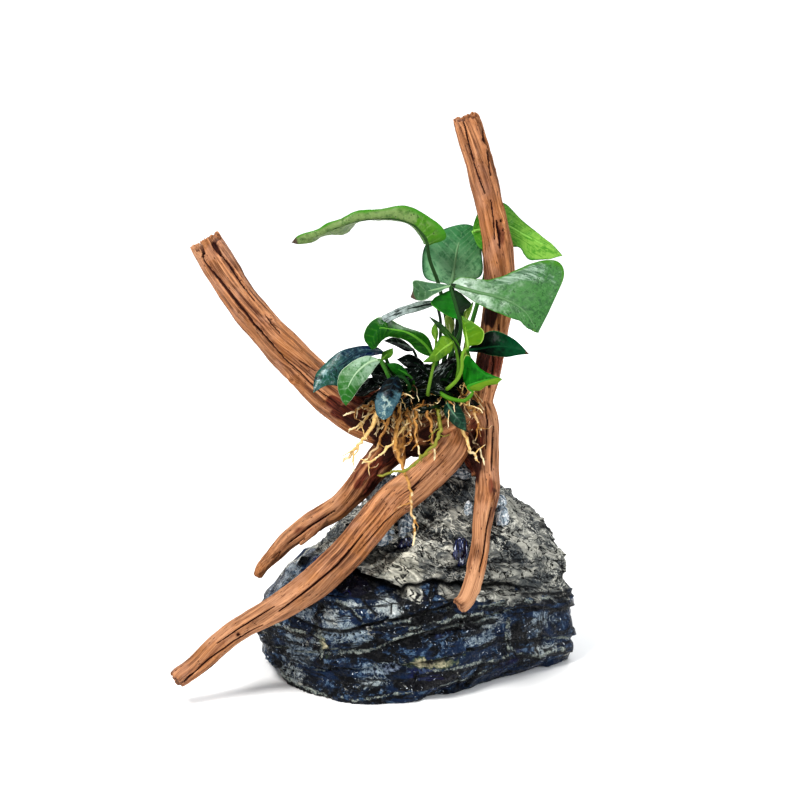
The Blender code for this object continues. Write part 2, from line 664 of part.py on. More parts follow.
def knobble(thing, amount):
    """Push the surface of a limb in and out by a slow noise, the same at any thickness."""
    for vertex in thing.data.vertices:
        place = vertex.co / millimetre
        lump = noise.noise(place * wood_lump_scale) + wood_knob_share * noise.noise(place * wood_knob_scale)
        vertex.co += vertex.normal * lump * amount * millimetre


def build_limb(name, collection, material, grow=0.0):
    route = [Vector(point[:3]) for point in wood_routes[name]]
    route[0] += (route[0] - route[1]).normalized() * grow
    route[-1] += (route[-1] - route[-2]).normalized() * grow
    radii = [point[3] + grow for point in wood_routes[name]]
    limb = tube(name, route, radii, collection, material, 3)
    knobble(limb, wood_knobbliness * max(point[3] for point in wood_routes[name]))
    return limb


def build_wood(collection, cutters, material):
    cut_shapes = {}
    for names in wood_joints.values():
        for name in names:
            if name not in cut_shapes:
                cutter = build_limb(name, cutters, None, cutter_growth)
                cutter.name = name + "_cutter"
                hide_cutter(cutter)
                cut_shapes[name] = cutter
    for name in wood_routes:
        limb = build_limb(name, collection, material)
        for neighbour in wood_joints.get(name, []):
            cut(limb, cut_shapes[neighbour])


def smooth_step(value, low, high):
    share = min(max((value - low) / (high - low), 0.0), 1.0)
    return share * share * (3 - 2 * share)


def level_at(line, x):
    """Second value of a line of pairs at x, the same beyond its ends."""
    if x <= line[0][0]:
        return line[0][1]
    for (near_x, near), (far_x, far) in zip(line, line[1:]):
        if x <= far_x:
            return near + (far - near) * (x - near_x) / (far_x - near_x)
    return line[-1][1]


def undercut(gap, opening):
    """1 at the edge of a ledge, easing out below it and ending just above it."""
    if gap < 0:
        return math.exp(gap / opening)
    return 1 - smooth_step(gap, 0.0, stone_edge_width)


def convex_reach(direction):
    """How far the planes let the stone reach, with their edges slightly rounded."""
    total = 0.0
    for normal, distance in stone_planes:
        length = Vector(normal).length
        facing = Vector(normal) / length
        toward = facing.dot(direction)
        if toward > stone_least_facing:
            reach = (distance / length - facing.dot(stone_centre)) / toward
            total += reach ** -stone_edge_sharpness
    return total ** (-1 / stone_edge_sharpness)


def block_lean(place):
    """How far the block of rock at a place leans out or in."""
    spot = Vector([place[axis] / stone_block_size[axis] for axis in range(3)])
    centre = noise.voronoi(spot)[1][0]
    turns = [noise.noise(centre * block_turn_scale + Vector((shift, 0, 0))) for shift in block_turn_shifts]
    return (spot - centre).dot(Vector(turns)) * stone_block_size[0]


def stone_reach(direction, grow):
    """How far the stone's surface lies from its centre, in millimetres."""
    reach = convex_reach(direction)
    place = stone_centre + direction * reach
    height = place.z - stone_fall * (place.y - stone_front)
    wobble = stone_wobble_depth * noise.noise(place * stone_wobble_scale + stone_wobble_shift)
    above_shelf = height - level_at(stone_shelf, place.x) - stone_shelf_wobble * wobble
    upper = max(smooth_step(above_shelf, *stone_crust_fade), smooth_step(direction.z, *stone_top_fade))
    coarse, fine = [noise.noise(place * scale) for scale in stone_lump_scales]
    reach += stone_lump_depth * (coarse + stone_fine_lump_share * fine - stone_lump_level)
    for line, depth, opening in stone_ledges:
        hollow = undercut(height - level_at(line, place.x) - wobble, opening) - stone_ledge_level
        reach -= depth * hollow * (1 - smooth_step(above_shelf, *stone_ledge_fade))
    layered = Vector((place.x, place.y, height))
    spot = [layered[axis] * stone_ridge_scales[axis] for axis in range(3)]
    ridges = noise.ridged_multi_fractal(spot, *stone_ridge_pattern)
    reach += stone_ridge_depth * upper * (ridges - stone_ridge_level)
    reach += stone_block_tilt * (1 - stone_block_calm * upper) * block_lean(layered)
    under = undercut(above_shelf, stone_shelf_opening) * smooth_step(-direction.y, *stone_front_fade)
    reach -= level_at(stone_shelf_depth, place.x) * under
    for centre, size, rise in stone_bosses:
        away = (place - Vector(centre)).length / size
        reach += rise * (1 - smooth_step(away, stone_boss_core, 1.0))
    return reach + grow


def build_stone(name, collection, material, grow=0.0):
    shape = bmesh.new()
    bmesh.ops.create_uvsphere(shape, u_segments=stone_columns, v_segments=stone_bands, radius=1.0)
    for vertex in shape.verts:
        direction = vertex.co.normalized()
        reach = stone_reach(direction, grow)
        if direction.z < 0:
            reach = min(reach, (stone_centre.z + grow) / -direction.z)
        vertex.co = (stone_centre + direction * reach) * millimetre
        if abs(vertex.co.z) < 0.00001:
            vertex.co.z = 0.0
    resting = [face for face in shape.faces if all(v.co.z < 0.00001 for v in face.verts)]
    if not grow:
        bmesh.ops.dissolve_faces(shape, faces=resting)
    bmesh.ops.triangulate(shape, faces=shape.faces)
    bmesh.ops.recalc_face_normals(shape, faces=shape.faces)
    mesh = bpy.data.meshes.new(name)
    shape.to_mesh(mesh)
    shape.free()
    return add_object(name, mesh, collection, material)


def blade_ring(rows, index):
    """The eight points round the blade at one row: margins, and both faces between them."""
    left, middle, right = rows[index]
    before = rows[max(index - 1, 0)]
    after = rows[min(index + 1, len(rows) - 1)]
    along = after[1] - before[1]
    across = right - left
    up = along.cross(across).normalized()
    thin = min(1.0, across.length / blade_full_width)
    ridge = up * blade_thickness * 0.5 * max(thin, 0.5)
    web = up * margin_thickness * thin
    left_web = left.lerp(middle, 0.5)
    right_web = right.lerp(middle, 0.5)
    return [
        left, left_web + web, middle + ridge, right_web + web,
        right, right_web - web, middle - ridge, left_web - web,
    ]


def stalk_ring(centre, along, side, radius):
    up = along.cross(side).normalized()
    across = up.cross(along).normalized()
    ring = []
    for corner in range(stalk_sides):
        angle = 2 * math.pi * corner / stalk_sides
        ring.append(centre - across * radius * math.cos(angle) + up * radius * math.sin(angle))
    return ring


def build_leaf(name, stalk, rows, collection, material):
    """A leaf is a loft: round sections up the stalk, then flat ones along the blade."""
    rows = [tuple(Vector(point) for point in row) for row in rows]
    pointed_base = (rows[0][0] - rows[0][2]).length < 1.0
    if pointed_base:
        rows = rows[1:]
    tip = rows[-1][1]
    last_ring = tuple(point.lerp(tip, near_tip) for point in rows[-2])
    rows = rows[:-1] + [last_ring]
    side = (rows[0][2] - rows[0][0]).normalized()
    size = max((row[2] - row[0]).length for row in rows)
    radius = stalk_least_radius + stalk_radius_share * size
    points = [Vector(point) for point in stalk]
    rings = []
    for index, centre in enumerate(points):
        along = points[min(index + 1, len(points) - 1)] - points[max(index - 1, 0)]
        thickness = radius * (stalk_flare - stalk_taper * index / (len(points) - 1))
        rings.append(stalk_ring(centre, along.normalized(), side, thickness))
    for index in range(len(rows)):
        rings.append(blade_ring(rows, index))
    shape = bmesh.new()
    made = [[shape.verts.new(point * millimetre) for point in ring] for ring in rings]
    for lower, upper in zip(made, made[1:]):
        for corner in range(stalk_sides):
            following = (corner + 1) % stalk_sides
            shape.faces.new((lower[corner], lower[following], upper[following], upper[corner]))
    shape.faces.new(made[0])
    shape.faces.new(made[-1])
    bmesh.ops.triangulate(shape, faces=shape.faces)
    bmesh.ops.recalc_face_normals(shape, faces=shape.faces)
    mesh = bpy.data.meshes.new(name)
    shape.to_mesh(mesh)
    shape.free()
    return add_object(name, mesh, collection, material)


def build_rhizome(name, collection, material, grow=0.0):
    points = [Vector(point) for point in rhizome_route]
    points[0] += (points[0] - points[1]).normalized() * grow
    points[-1] += (points[-1] - points[-2]).normalized() * grow
    radii = [rhizome_radius + grow] * len(points)
    radii[0] -= rhizome_end_narrowing
    radii[-1] -= rhizome_end_narrowing
    return tube(name, points, radii, collection, material, 2)


def build_plant(collection, cutters, leaf_material, rhizome_material, root_material):
    rhizome_cutter = build_rhizome("rhizome_cutter", cutters, None, cutter_growth)
    hide_cutter(rhizome_cutter)
    build_rhizome("rhizome", collection, rhizome_material)
    for name, (stalk, rows) in leaves.items():
        leaf = build_leaf(name, stalk, rows, collection, leaf_material)
        cut(leaf, rhizome_cutter)
    for name, (thickness, points) in roots.items():
        route = [Vector(point) for point in points]
        last = len(route) - 1
        radii = [thickness * (1.0 - root_taper * index / last) for index in range(last + 1)]
        root = tube(name, route, radii, collection, root_material, 1)
        cut(root, rhizome_cutter)


def build_glue(collection, cutters, material):
    stone_cutter = build_stone("stone_cutter", cutters, None, cutter_growth)
    hide_cutter(stone_cutter)
    wood_cutters = []
    for name in ("rear_foot", "front_left_branch", "right_leg"):
        cutter = build_limb(name, cutters, None, cutter_growth)
        cutter.name = name + "_glue_cutter"
        hide_cutter(cutter)
        wood_cutters.append(cutter)
    for name, (centre, radii, turn) in glue_lumps.items():
        shape = bmesh.new()
        bmesh.ops.create_icosphere(shape, subdivisions=2, radius=1.0)
        for vertex in shape.verts:
            bump = 1 + glue_bumpiness * noise.noise(vertex.co * glue_bump_scale + Vector(centre))
            vertex.co = Vector([vertex.co[axis] * radii[axis] * bump for axis in range(3)])
        bmesh.ops.rotate(shape, verts=shape.verts, matrix=Matrix.Rotation(math.radians(turn), 3, "Y"))
        bmesh.ops.scale(shape, verts=shape.verts, vec=(millimetre, millimetre, millimetre))
        bmesh.ops.translate(shape, verts=shape.verts, vec=to_metres(centre))
        mesh = bpy.data.meshes.new(name)
        shape.to_mesh(mesh)
        shape.free()
        lump = add_object(name, mesh, collection, material)
        cut(lump, stone_cutter)
        for cutter in wood_cutters:
            cut(lump, cutter)


clear_scene()
part_collection = new_collection(collection_name)
cutter_collection = new_collection(cutter_collection_name)
build_stone("stone", part_collection, new_material("stone", stone_colour, 0.6))
build_wood(part_collection, cutter_collection, new_material("wood", wood_colour, 0.7))
build_plant(
    part_collection,
    cutter_collection,
    new_material("leaf", leaf_colour, 0.35),
    new_material("rhizome", rhizome_colour, 0.6),
    new_material("root", root_colour, 0.6),
)
build_glue(part_collection, cutter_collection, new_material("glue", glue_colour, 0.1))
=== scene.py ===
# Anubias growing on a piece of driftwood that is glued to a stone
# Lengths are in millimetres unless a name says otherwise; meshes are turned into metres as they are made

import math
import random

import bpy
import numpy
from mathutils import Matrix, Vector, noise
from mathutils.kdtree import KDTree


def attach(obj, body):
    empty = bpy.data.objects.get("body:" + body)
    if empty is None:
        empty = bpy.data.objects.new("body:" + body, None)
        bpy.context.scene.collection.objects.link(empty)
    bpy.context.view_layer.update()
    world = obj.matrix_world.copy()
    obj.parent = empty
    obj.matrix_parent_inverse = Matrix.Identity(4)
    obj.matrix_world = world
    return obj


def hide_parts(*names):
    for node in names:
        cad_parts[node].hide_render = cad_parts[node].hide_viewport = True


millimetre = 0.001
perMetre = 1000.0

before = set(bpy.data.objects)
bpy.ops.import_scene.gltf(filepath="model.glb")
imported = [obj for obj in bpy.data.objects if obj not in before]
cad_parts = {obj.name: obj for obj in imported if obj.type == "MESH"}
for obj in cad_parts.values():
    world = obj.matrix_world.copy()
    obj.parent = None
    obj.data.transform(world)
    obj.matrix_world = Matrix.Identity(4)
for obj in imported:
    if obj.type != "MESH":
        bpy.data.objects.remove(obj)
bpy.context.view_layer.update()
bpy.ops.object.select_all(action="DESELECT")
print("frame loaded")


class Wire:  # an output socket; sums on it add Math nodes
    def __init__(self, board, socket):
        self.board, self.socket = board, socket

    def __add__(self, other):
        return self.board.sum("ADD", self, other)

    def __radd__(self, other):
        return self.board.sum("ADD", other, self)

    def __sub__(self, other):
        return self.board.sum("SUBTRACT", self, other)

    def __rsub__(self, other):
        return self.board.sum("SUBTRACT", other, self)

    def __mul__(self, other):
        return self.board.sum("MULTIPLY", self, other)

    def __rmul__(self, other):
        return self.board.sum("MULTIPLY", other, self)

    def __abs__(self):
        return self.board.sum("ABSOLUTE", self)


class Board:  # a material and its nodes; colours are codes as a colour picker shows them
    def __init__(self, name):
        self.material = bpy.data.materials.new(name)
        self.material.use_nodes = True
        self.tree = self.material.node_tree
        self.shader = self.tree.nodes["Principled BSDF"]
        here = self.add("ShaderNodeTexCoord", output="Object")
        self.place = self.stretch(here, [perMetre] * 3)  # object coordinates in millimetres

    def plug(self, socket, value):  # a wire, a number, a vector or a colour code
        if isinstance(value, Wire):
            self.tree.links.new(value.socket, socket)
        else:
            socket.default_value = screen(value) if isinstance(value, str) else value

    def add(self, kind, settings=None, inputs=None, output=0):
        node = self.tree.nodes.new(kind)
        for name, value in (settings or {}).items():
            setattr(node, name, value)
        for key, value in (inputs or {}).items():
            self.plug(node.inputs[key], value)
        return Wire(self, node.outputs[output])

    def sum(self, operation, first, second=0.0):
        return self.add("ShaderNodeMath", {"operation": operation}, {0: first, 1: second})

    def stretch(self, where, sizes):
        where = where or self.place
        return self.add("ShaderNodeVectorMath", {"operation": "MULTIPLY"}, {0: where, 1: sizes}) if sizes else where

    def value(self, name, output="Fac"):  # what is painted on the mesh
        return self.add("ShaderNodeAttribute", {"attribute_name": name}, output=output)

    def cloud(self, scale, detail=3, roughness=0.55, twist=0, sizes=None, where=None):
        where = self.stretch(where, sizes)
        inputs = {"Vector": where, "Scale": scale, "Detail": detail, "Roughness": roughness, "Distortion": twist}
        return self.add("ShaderNodeTexNoise", None, inputs, "Fac")

    def cells(self, scale, sizes=None, where=None):
        inputs = {"Vector": self.stretch(where, sizes), "Scale": scale}
        return self.add("ShaderNodeTexVoronoi", None, inputs, "Distance")

    def fade(self, value, low, high):  # 0 at low, 1 at high, soft between
        inputs = {"Value": value, "From Min": low, "From Max": high}
        return self.add("ShaderNodeMapRange", {"interpolation_type": "SMOOTHSTEP"}, inputs)

    def mix(self, share, first, second):
        return self.add("ShaderNodeMix", {"data_type": "RGBA"}, {0: share, 6: first, 7: second}, 2)

    def cover(self, colour, *coats):  # each coat is its share and its colour
        for share, tone in coats:
            colour = self.mix(share, colour, tone)
        return colour

    def bump(self, height, strength, reach):
        inputs = {"Height": height, "Strength": strength, "Distance": reach * millimetre}
        self.plug(self.shader.inputs["Normal"], self.add("ShaderNodeBump", None, inputs))

    def finish(self, **values):  # sockets of the main shader by name, with _ for each space
        for name, value in values.items():
            self.plug(self.shader.inputs[name.replace("_", " ")], value)
        return self.material


def screen(code, shade=1.0):  # a colour code as light, darkened by shade
    light = []
    for start in (0, 2, 4):
        part = int(code[start : start + 2], 16) * shade / 255
        light.append(part / 12.92 if part <= 0.04045 else ((part + 0.055) / 1.055) ** 2.4)
    return (*light, 1.0)


def noiseAt(points, scale, shift=0.0):
    return numpy.array([noise.noise(place) for place in (points * scale + shift).tolist()])


def ridgesAt(points, scale, octaves, shift=0.0):
    places = (points * scale + shift).tolist()
    return numpy.array([noise.ridged_multi_fractal(place, 0.9, 2.1, octaves, 1.0, 2.0) for place in places])


def soft(values, low, high):  # smooth step from 0 to 1
    share = numpy.clip((values - low) / (high - low), 0, 1)
    return share * share * (3 - 2 * share)


def lengths(vectors):
    return numpy.linalg.norm(vectors, axis=-1)


def setPlaces(thing, points):
    thing.data.vertices.foreach_set("co", (points * millimetre).ravel())
    thing.data.update()


def getPlaces(thing):
    return readMesh(thing, "co") * perMetre


def readMesh(thing, key):  # "co" or "normal" of each vertex
    values = numpy.empty(len(thing.data.vertices) * 3)
    thing.data.vertices.foreach_get(key, values)
    return values.reshape(-1, 3)


def paint(thing, domain="POINT", **layers):
    for name, values in layers.items():
        kind, key = ("FLOAT", "value") if values.ndim == 1 else ("FLOAT_VECTOR", "vector")
        layer = thing.data.attributes.new(name, kind, domain)
        layer.data.foreach_set(key, values.astype(numpy.float32).ravel())


def choose(*things):
    bpy.ops.object.select_all(action="DESELECT")
    for thing in things:
        thing.select_set(True)
    bpy.context.view_layer.objects.active = things[0]


def applyAll(thing):
    choose(thing)
    for modifier in list(thing.modifiers):
        bpy.ops.object.modifier_apply(modifier=modifier.name)


def joinAll(name, *things):
    choose(*things)
    if len(things) > 1:
        bpy.ops.object.join()
    joined = bpy.context.object
    joined.name = joined.data.name = name
    return joined


def dress(thing, material, slot, *nodes):
    choose(thing)
    bpy.ops.object.shade_smooth()
    thing.data.materials.clear()
    thing.data.materials.append(material)
    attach(thing, "root")
    if nodes:
        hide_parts(*nodes)


def thread(knots, counts):  # smooth through all but the end knots, with so many points between two of them
    out = []
    for index, count in enumerate(counts):
        p0, p1, p2, p3 = knots[index : index + 4]
        for part in range(count):
            t = part / count
            start = 2 * p1 + (p2 - p0) * t
            out.append(0.5 * (start + (2 * p0 - 5 * p1 + 4 * p2 - p3) * t**2 + (3 * p1 - p0 - 3 * p2 + p3) * t**3))
    return numpy.array(out + [knots[-2]])


def flow(points, step):  # a smooth route through points, sampled every step or so
    points = numpy.array(points, float)
    knots = numpy.vstack([2 * points[0] - points[1], points, 2 * points[-1] - points[-2]])
    return thread(knots, [max(1, int(round(gap / step))) for gap in lengths(numpy.diff(points[:, :3], axis=0))])


def addTubes(name, strands, sides):  # capped tubes along routes with radii; sides is the bevel resolution
    curve = bpy.data.curves.new(name, "CURVE")
    curve.dimensions = "3D"
    curve.bevel_depth = millimetre
    curve.bevel_resolution = sides
    curve.use_fill_caps = True
    for route, radii in strands:
        spline = curve.splines.new("POLY")
        spline.points.add(len(route) - 1)
        spline.points.foreach_set("co", numpy.column_stack([route * millimetre, numpy.ones(len(route))]).ravel())
        spline.points.foreach_set("radius", radii)
    tubes = bpy.data.objects.new(name, curve)
    bpy.context.scene.collection.objects.link(tubes)
    choose(tubes)
    bpy.ops.object.convert(target="MESH")
    return bpy.context.object


# Camera, lights and floor
studio = {
    "aim": (0, 0, 139),
    "distance": 944,
    "elevation": 12,
    "lens": 85,
    "sensor": 36,
    "clipping": (0.01, 100),  # metres
    "floorColour": (0.93, 0.93, 0.93, 1),
    "floorSize": 16000,
    "floorGlow": ((250, 1100), 0.55),  # the floor brightens from one distance to the other
    "skyColour": (0.96, 0.98, 1, 1),
    "skyStrengths": (0.5, 1),  # as a light, and as the camera sees it
    "lamps": {  # place, size, power in watts, colour
        "keyLamp": ((-420, -560, 940), 360, 11, (1, 0.985, 0.96)),
        "sideLamp": ((700, -420, 520), 380, 2.5, (0.95, 0.98, 1)),
        "backLamp": ((160, 720, 760), 520, 5, (1, 1, 1)),
    },
}

lift = math.radians(studio["elevation"])
aim = Vector(studio["aim"]) * millimetre
away = Vector((0, -math.cos(lift), math.sin(lift)))
bpy.ops.object.camera_add(location=aim + away * studio["distance"] * millimetre)
camera = bpy.context.object
camera.name = "photoCamera"
camera.rotation_euler = (-away).to_track_quat("-Z", "Y").to_euler()
camera.data.lens, camera.data.sensor_width = studio["lens"], studio["sensor"]
camera.data.clip_start, camera.data.clip_end = studio["clipping"]
bpy.context.scene.camera = camera
cameraPlace = numpy.array(camera.location) * perMetre

for lampName, (lampPlace, lampSize, lampPower, lampColour) in studio["lamps"].items():
    bpy.ops.object.light_add(type="AREA", location=Vector(lampPlace) * millimetre)
    lamp = bpy.context.object
    lamp.name = lampName
    lamp.rotation_euler = (aim - lamp.location).to_track_quat("-Z", "Y").to_euler()
    lamp.data.shape = "DISK"
    lamp.data.size = lampSize * millimetre
    lamp.data.energy = lampPower
    lamp.data.color = lampColour

sky = bpy.data.worlds.new("softSky")
bpy.context.scene.world = sky
sky.use_nodes = True
skyNodes, skyLink = sky.node_tree.nodes, sky.node_tree.links.new
skyNodes.remove(skyNodes["Background"])
skyMix = skyNodes.new("ShaderNodeMixShader")
skyLink(skyNodes.new("ShaderNodeLightPath").outputs["Is Camera Ray"], skyMix.inputs[0])
skyLink(skyMix.outputs[0], skyNodes["World Output"].inputs["Surface"])
for skyInput, skyStrength in zip(skyMix.inputs[1:], studio["skyStrengths"]):
    skyLight = skyNodes.new("ShaderNodeBackground")
    skyLight.inputs["Color"].default_value = studio["skyColour"]
    skyLight.inputs["Strength"].default_value = skyStrength
    skyLink(skyLight.outputs[0], skyInput)
bpy.context.scene.view_settings.view_transform = "Standard"
bpy.context.scene.view_settings.look = "Medium High Contrast"

bpy.ops.mesh.primitive_plane_add(size=studio["floorSize"] * millimetre, location=(0, 0, -0.0002))
floor = bpy.context.object
floor.name = "paleFloor"
bpy.ops.object.transform_apply()
floorBoard = Board("paleFloor")
floorReach = floorBoard.add("ShaderNodeVectorMath", {"operation": "LENGTH"}, {0: floorBoard.place}, "Value")
floorGlow = floorBoard.fade(floorReach, *studio["floorGlow"][0]) * studio["floorGlow"][1]
floor.data.materials.append(floorBoard.finish(
    Base_Color=studio["floorColour"], Roughness=0.9, Emission_Color=floorGlow, Emission_Strength=1.0))
print("camera, lights and floor made")


# Stone: a cube's grid is pushed out to the planes that bound the rock, then broken up
stone = {
    "centre": (8, -4, 46),
    "planes": [  # outward normal and distance from the origin
        ((-1, -0.02, -0.05), 68), ((-0.685, 0, 0.728), 70.5), ((0, 0, 1), 104), ((0.657, 0, 0.754), 100.5),
        ((0.9, 0, 0.43), 99.5), ((1, 0, 0), 86.5), ((0, -0.784, 0.621), 72), ((0, -1, 0), 53.5),
        ((0.62, -0.78, 0), 53.5), ((-0.58, -0.815, 0), 58.5), ((0.45, -0.6, -0.66), 33), ((-0.7, -0.2, -0.68), 44.5),
        ((0, 1, 0.1), 49.5), ((0, 0.7, 0.7), 86), ((-0.7, 0.7, 0), 62), ((0.7, 0.7, 0), 80)
    ],
    "cuts": 124,
    "crowding": (0, -0.16, 0.2),  # draws the grid towards the front and the top
    "sharpness": 40,
    "lumpDepth": 2.4,
    "lip": [(-70, 60), (-36, 67), (-27, 70), (-19, 63), (-8, 58.5), (0, 56), (8, 59), (16, 61.5), (25, 58.5),
            (44, 56.5), (63, 52.5), (88, 46)],  # x and height of the shelf's edge along the front
    "lipJag": 2.4,
    "lipDepth": [(-50, 3), (-36, 6), (-24, 9.5), (-6, 8.5), (8, 3.5), (30, 5), (60, 4), (90, 3)],
    "lipOpening": 6.0,
    "ledges": [  # x and height along the front, depth, opening below, from the top down
        ([(-50, 40), (-38, 37), (-27, 36), (-15, 39.5), (0, 42), (14, 46.4), (34, 50), (53, 50.5), (88, 45)], 2.8, 4),
        ([(-60, 22), (-40, 23.5), (-29, 26.5), (-15, 27), (0, 32), (19, 36.5), (38, 39.6), (58, 43), (88, 36)],
         3.4, 4.5),
        ([(-64, 9), (-54, 10.6), (-34, 16), (-14, 17.5), (10, 20.5), (34, 24.8), (53, 26), (88, 22)], 2.6, 4),
    ],
    "backward": -0.14,  # how far the ledges fall for each millimetre towards the back
    "blockSize": (24.0, 24.0, 13.0),
    "blockTilt": 0.2,
    "ridgeScale": (0.036, 0.036, 0.085),
    "ridgeDepth": 3.4,
    "crumbScale": (0.15, 0.15, 0.3),
    "crumbDepth": 1.1,
    "pitDepth": 0.9,
    "crackDepth": 0.7,
    "layers": 4,  # thin layers between two ledges
    "layerDepth": 1.25,
    "bosses": [  # place, reach, how far it stands out
        ((-1, -50, 68), 19, 4), ((-29, -46, 61), 10, -5), ((66, -26, 66), 18, 2.5), ((-32, -54, 36), 15, 2.5),
        ((40, -42, 72), 12, -2.5), ((70, -40, 30), 18, 2), ((66, -6, 80), 5, 3.5),
    ],
}


def heightOf(line, place):
    return numpy.interp(place[:, 0], *zip(*line))


def undercut(gap, opening):  # full at the edge, easing out below it and stopping short above
    return numpy.where(gap < 0, numpy.exp(numpy.minimum(gap, 0) / opening), 1 - soft(gap, 0.0, 1.6))


def stackOf(height, place):  # which bed of the rock a place is in, counted up from the ground
    lines = [[(0, 0)]] + [line for line, depth, opening in reversed(stone["ledges"])] + [stone["lip"], [(0, 95)]]
    levels = [heightOf(line, place) for line in lines]
    beds = numpy.zeros(len(place))
    for number, (level, above) in enumerate(zip(levels, levels[1:])):
        share = (height - level) / (above - level)
        beds = numpy.where(share > 0, number + share, beds)
    return beds


def stoneMain(directions):  # reach of the rock's main form, its place, its beds and its share under the shelf
    centre = numpy.array(stone["centre"])
    total = numpy.zeros(len(directions))
    for normal, distance in stone["planes"]:
        length = numpy.linalg.norm(normal)
        facing = numpy.array(normal) / length
        toward = directions @ facing
        reach = (distance / length - facing @ centre) / numpy.where(toward > 0.02, toward, 1.0)
        total += numpy.where(toward > 0.02, reach ** -float(stone["sharpness"]), 0.0)
    reach = total ** (-1 / stone["sharpness"])
    place = centre + directions * reach[:, None]
    lump = noiseAt(place, 0.04) + 0.5 * noiseAt(place, 0.1)
    reach = reach + stone["lumpDepth"] * (lump - 0.3)
    lowered = place[:, 2] - stone["backward"] * (place[:, 1] + 50.0)
    wobble = 1.6 * noiseAt(place, 0.06, 9.0)
    lipGap = lowered - heightOf(stone["lip"], place) - 1.5 * wobble - stone["lipJag"] * noiseAt(place, 0.16, 5.0)
    ledgeShade = numpy.zeros(len(place))
    patchy = soft(noiseAt(place, 0.035, 8.0), -0.35, 0.1)
    for line, depth, opening in stone["ledges"]:
        gap = lowered - heightOf(line, place) - wobble
        ledgeShade = numpy.maximum(ledgeShade, undercut(gap, opening * 0.8) * patchy * (lipGap < 0))
        reach -= depth * (undercut(gap, opening) - 0.4) * (1 - soft(lipGap, -3.0, 1.0))
    beds = stackOf(lowered - wobble, place)
    upper = numpy.maximum(soft(lipGap, -2.0, 2.0), soft(directions[:, 2], 0.5, 0.7))
    layered = numpy.column_stack([place[:, 0], place[:, 1], lowered])
    reach += stone["ridgeDepth"] * upper * (ridgesAt(layered, stone["ridgeScale"], 2) - 1.1)
    reach += stone["blockTilt"] * (1 - 0.6 * upper) * blocksAt(layered)[0]
    under = undercut(lipGap, stone["lipOpening"]) * soft(-directions[:, 1], 0.0, 0.4)
    reach -= heightOf(stone["lipDepth"], place) * under
    for spot, size, rise in stone["bosses"]:
        reach += rise * (1 - soft(lengths(place - spot) / size, 0.45, 1.0))
    return reach, place, layered, beds, lipGap, numpy.maximum(under, ledgeShade)


def blocksAt(layered):  # how each broken block leans, and how near its crack is
    lean, crack = numpy.empty((2, len(layered)))
    size = numpy.array(stone["blockSize"])
    for index, spot in enumerate((layered / size).tolist()):
        distances, points = noise.voronoi(spot)
        turns = [noise.noise(points[0] * 5.3 + Vector((shift, 0, 0))) for shift in (0.5, 17.5, 31.5)]
        lean[index] = (Vector(spot) - points[0]).dot(Vector(turns)) * size[0]
        crack[index] = distances[1] - distances[0]
    return lean, crack


def stoneDetail(directions, place, layered, beds, lipGap, under):  # fine relief, and what the rock shows there, with painted shade in its recesses
    edge = lipGap + 2.0 * noiseAt(place, 0.2, 4.0)
    crust = numpy.maximum(soft(edge, -1.0, 1.5), soft(directions[:, 2], 0.5, 0.7))
    bare = 1 - crust
    coarse = ridgesAt(layered, stone["ridgeScale"], 2)
    rough = ridgesAt(layered, stone["ridgeScale"], 6) - coarse - 0.3
    crumbs = ridgesAt(layered, stone["crumbScale"], 4, 7.0) - 1.25
    pits = numpy.array([noise.voronoi(spot)[0][0] for spot in (layered * stone["crumbScale"]).tolist()])
    pits = (1 - soft(pits, 0.1, 0.5)) * soft(noiseAt(place, 0.07, 3.0), -0.2, 0.2)
    cracks = (1 - soft(blocksAt(layered)[1], 0.01, 0.06)) * soft(noiseAt(place, 0.05, 12.0), 0.0, 0.25)
    layers = beds * stone["layers"] + 0.5 * noiseAt(place, 0.045, 2.0)
    ledge = layers % 1.0
    along = numpy.column_stack([numpy.floor(layers) * 3.1, place[:, 0] * 0.03, place[:, 1] * 0.03])
    ledge = (ledge * (1 - soft(ledge, 0.82, 1.0)) - 0.4) * soft(noiseAt(along, 1.0), -0.25, 0.3)
    steep = 1 - abs(directions[:, 2])
    relief = crust * (stone["ridgeDepth"] * 1.3 * rough + stone["crumbDepth"] * crumbs - stone["pitDepth"] * pits)
    relief += bare * (0.3 * crumbs - stone["crackDepth"] * cracks)
    relief += (0.5 + 0.5 * bare) * stone["layerDepth"] * steep * ledge * 2.0
    relief += 0.14 * noiseAt(place, 0.8, 5.0) + 0.1 * noiseAt(place, 1.9, 6.0)
    low = rough + 0.35 * crumbs + 0.3 * (coarse - 1.1)
    # painted shade: darker in pits, low places and cracks, under the ledges and under the shelf
    hollow = crust * (0.3 * pits + 0.8 * soft(-low, 0.16, 0.5)) + 0.8 * bare * cracks
    hollow = numpy.clip(hollow + 0.9 * bare * soft(-ledge, 0.2, 0.4) + under * under, 0, 1)
    return relief, {"crust": crust, "hollow": hollow, "proud": crust * soft(low, -0.02, 0.35), "bed": beds}


def lineGap(points, line):  # how far each (x, z) lies from a bent line, and its share of the way along
    best = numpy.full(len(points), 1e6)
    share = numpy.zeros(len(points))
    for index, (start, end) in enumerate(zip(line, line[1:])):
        run = numpy.array(end) - start
        t = numpy.clip((points - start) @ run / (run @ run), 0, 1)
        gap = lengths(points - start - t[:, None] * run)
        share = numpy.where(gap < best, (index + t) / (len(line) - 1), share)
        best = numpy.minimum(best, gap)
    return best, share


def spotShares(points, spots, ragged, core=0.5):  # how strongly each point lies in a spot: place, reaches, strength
    shares = numpy.zeros(len(points))
    for spot in numpy.array(spots, float):
        gap = lengths((points - spot[:3]) / spot[3:6]) + ragged
        shares = numpy.maximum(shares, spot[6] * (1 - soft(gap, core, 1.15)))
    return shares


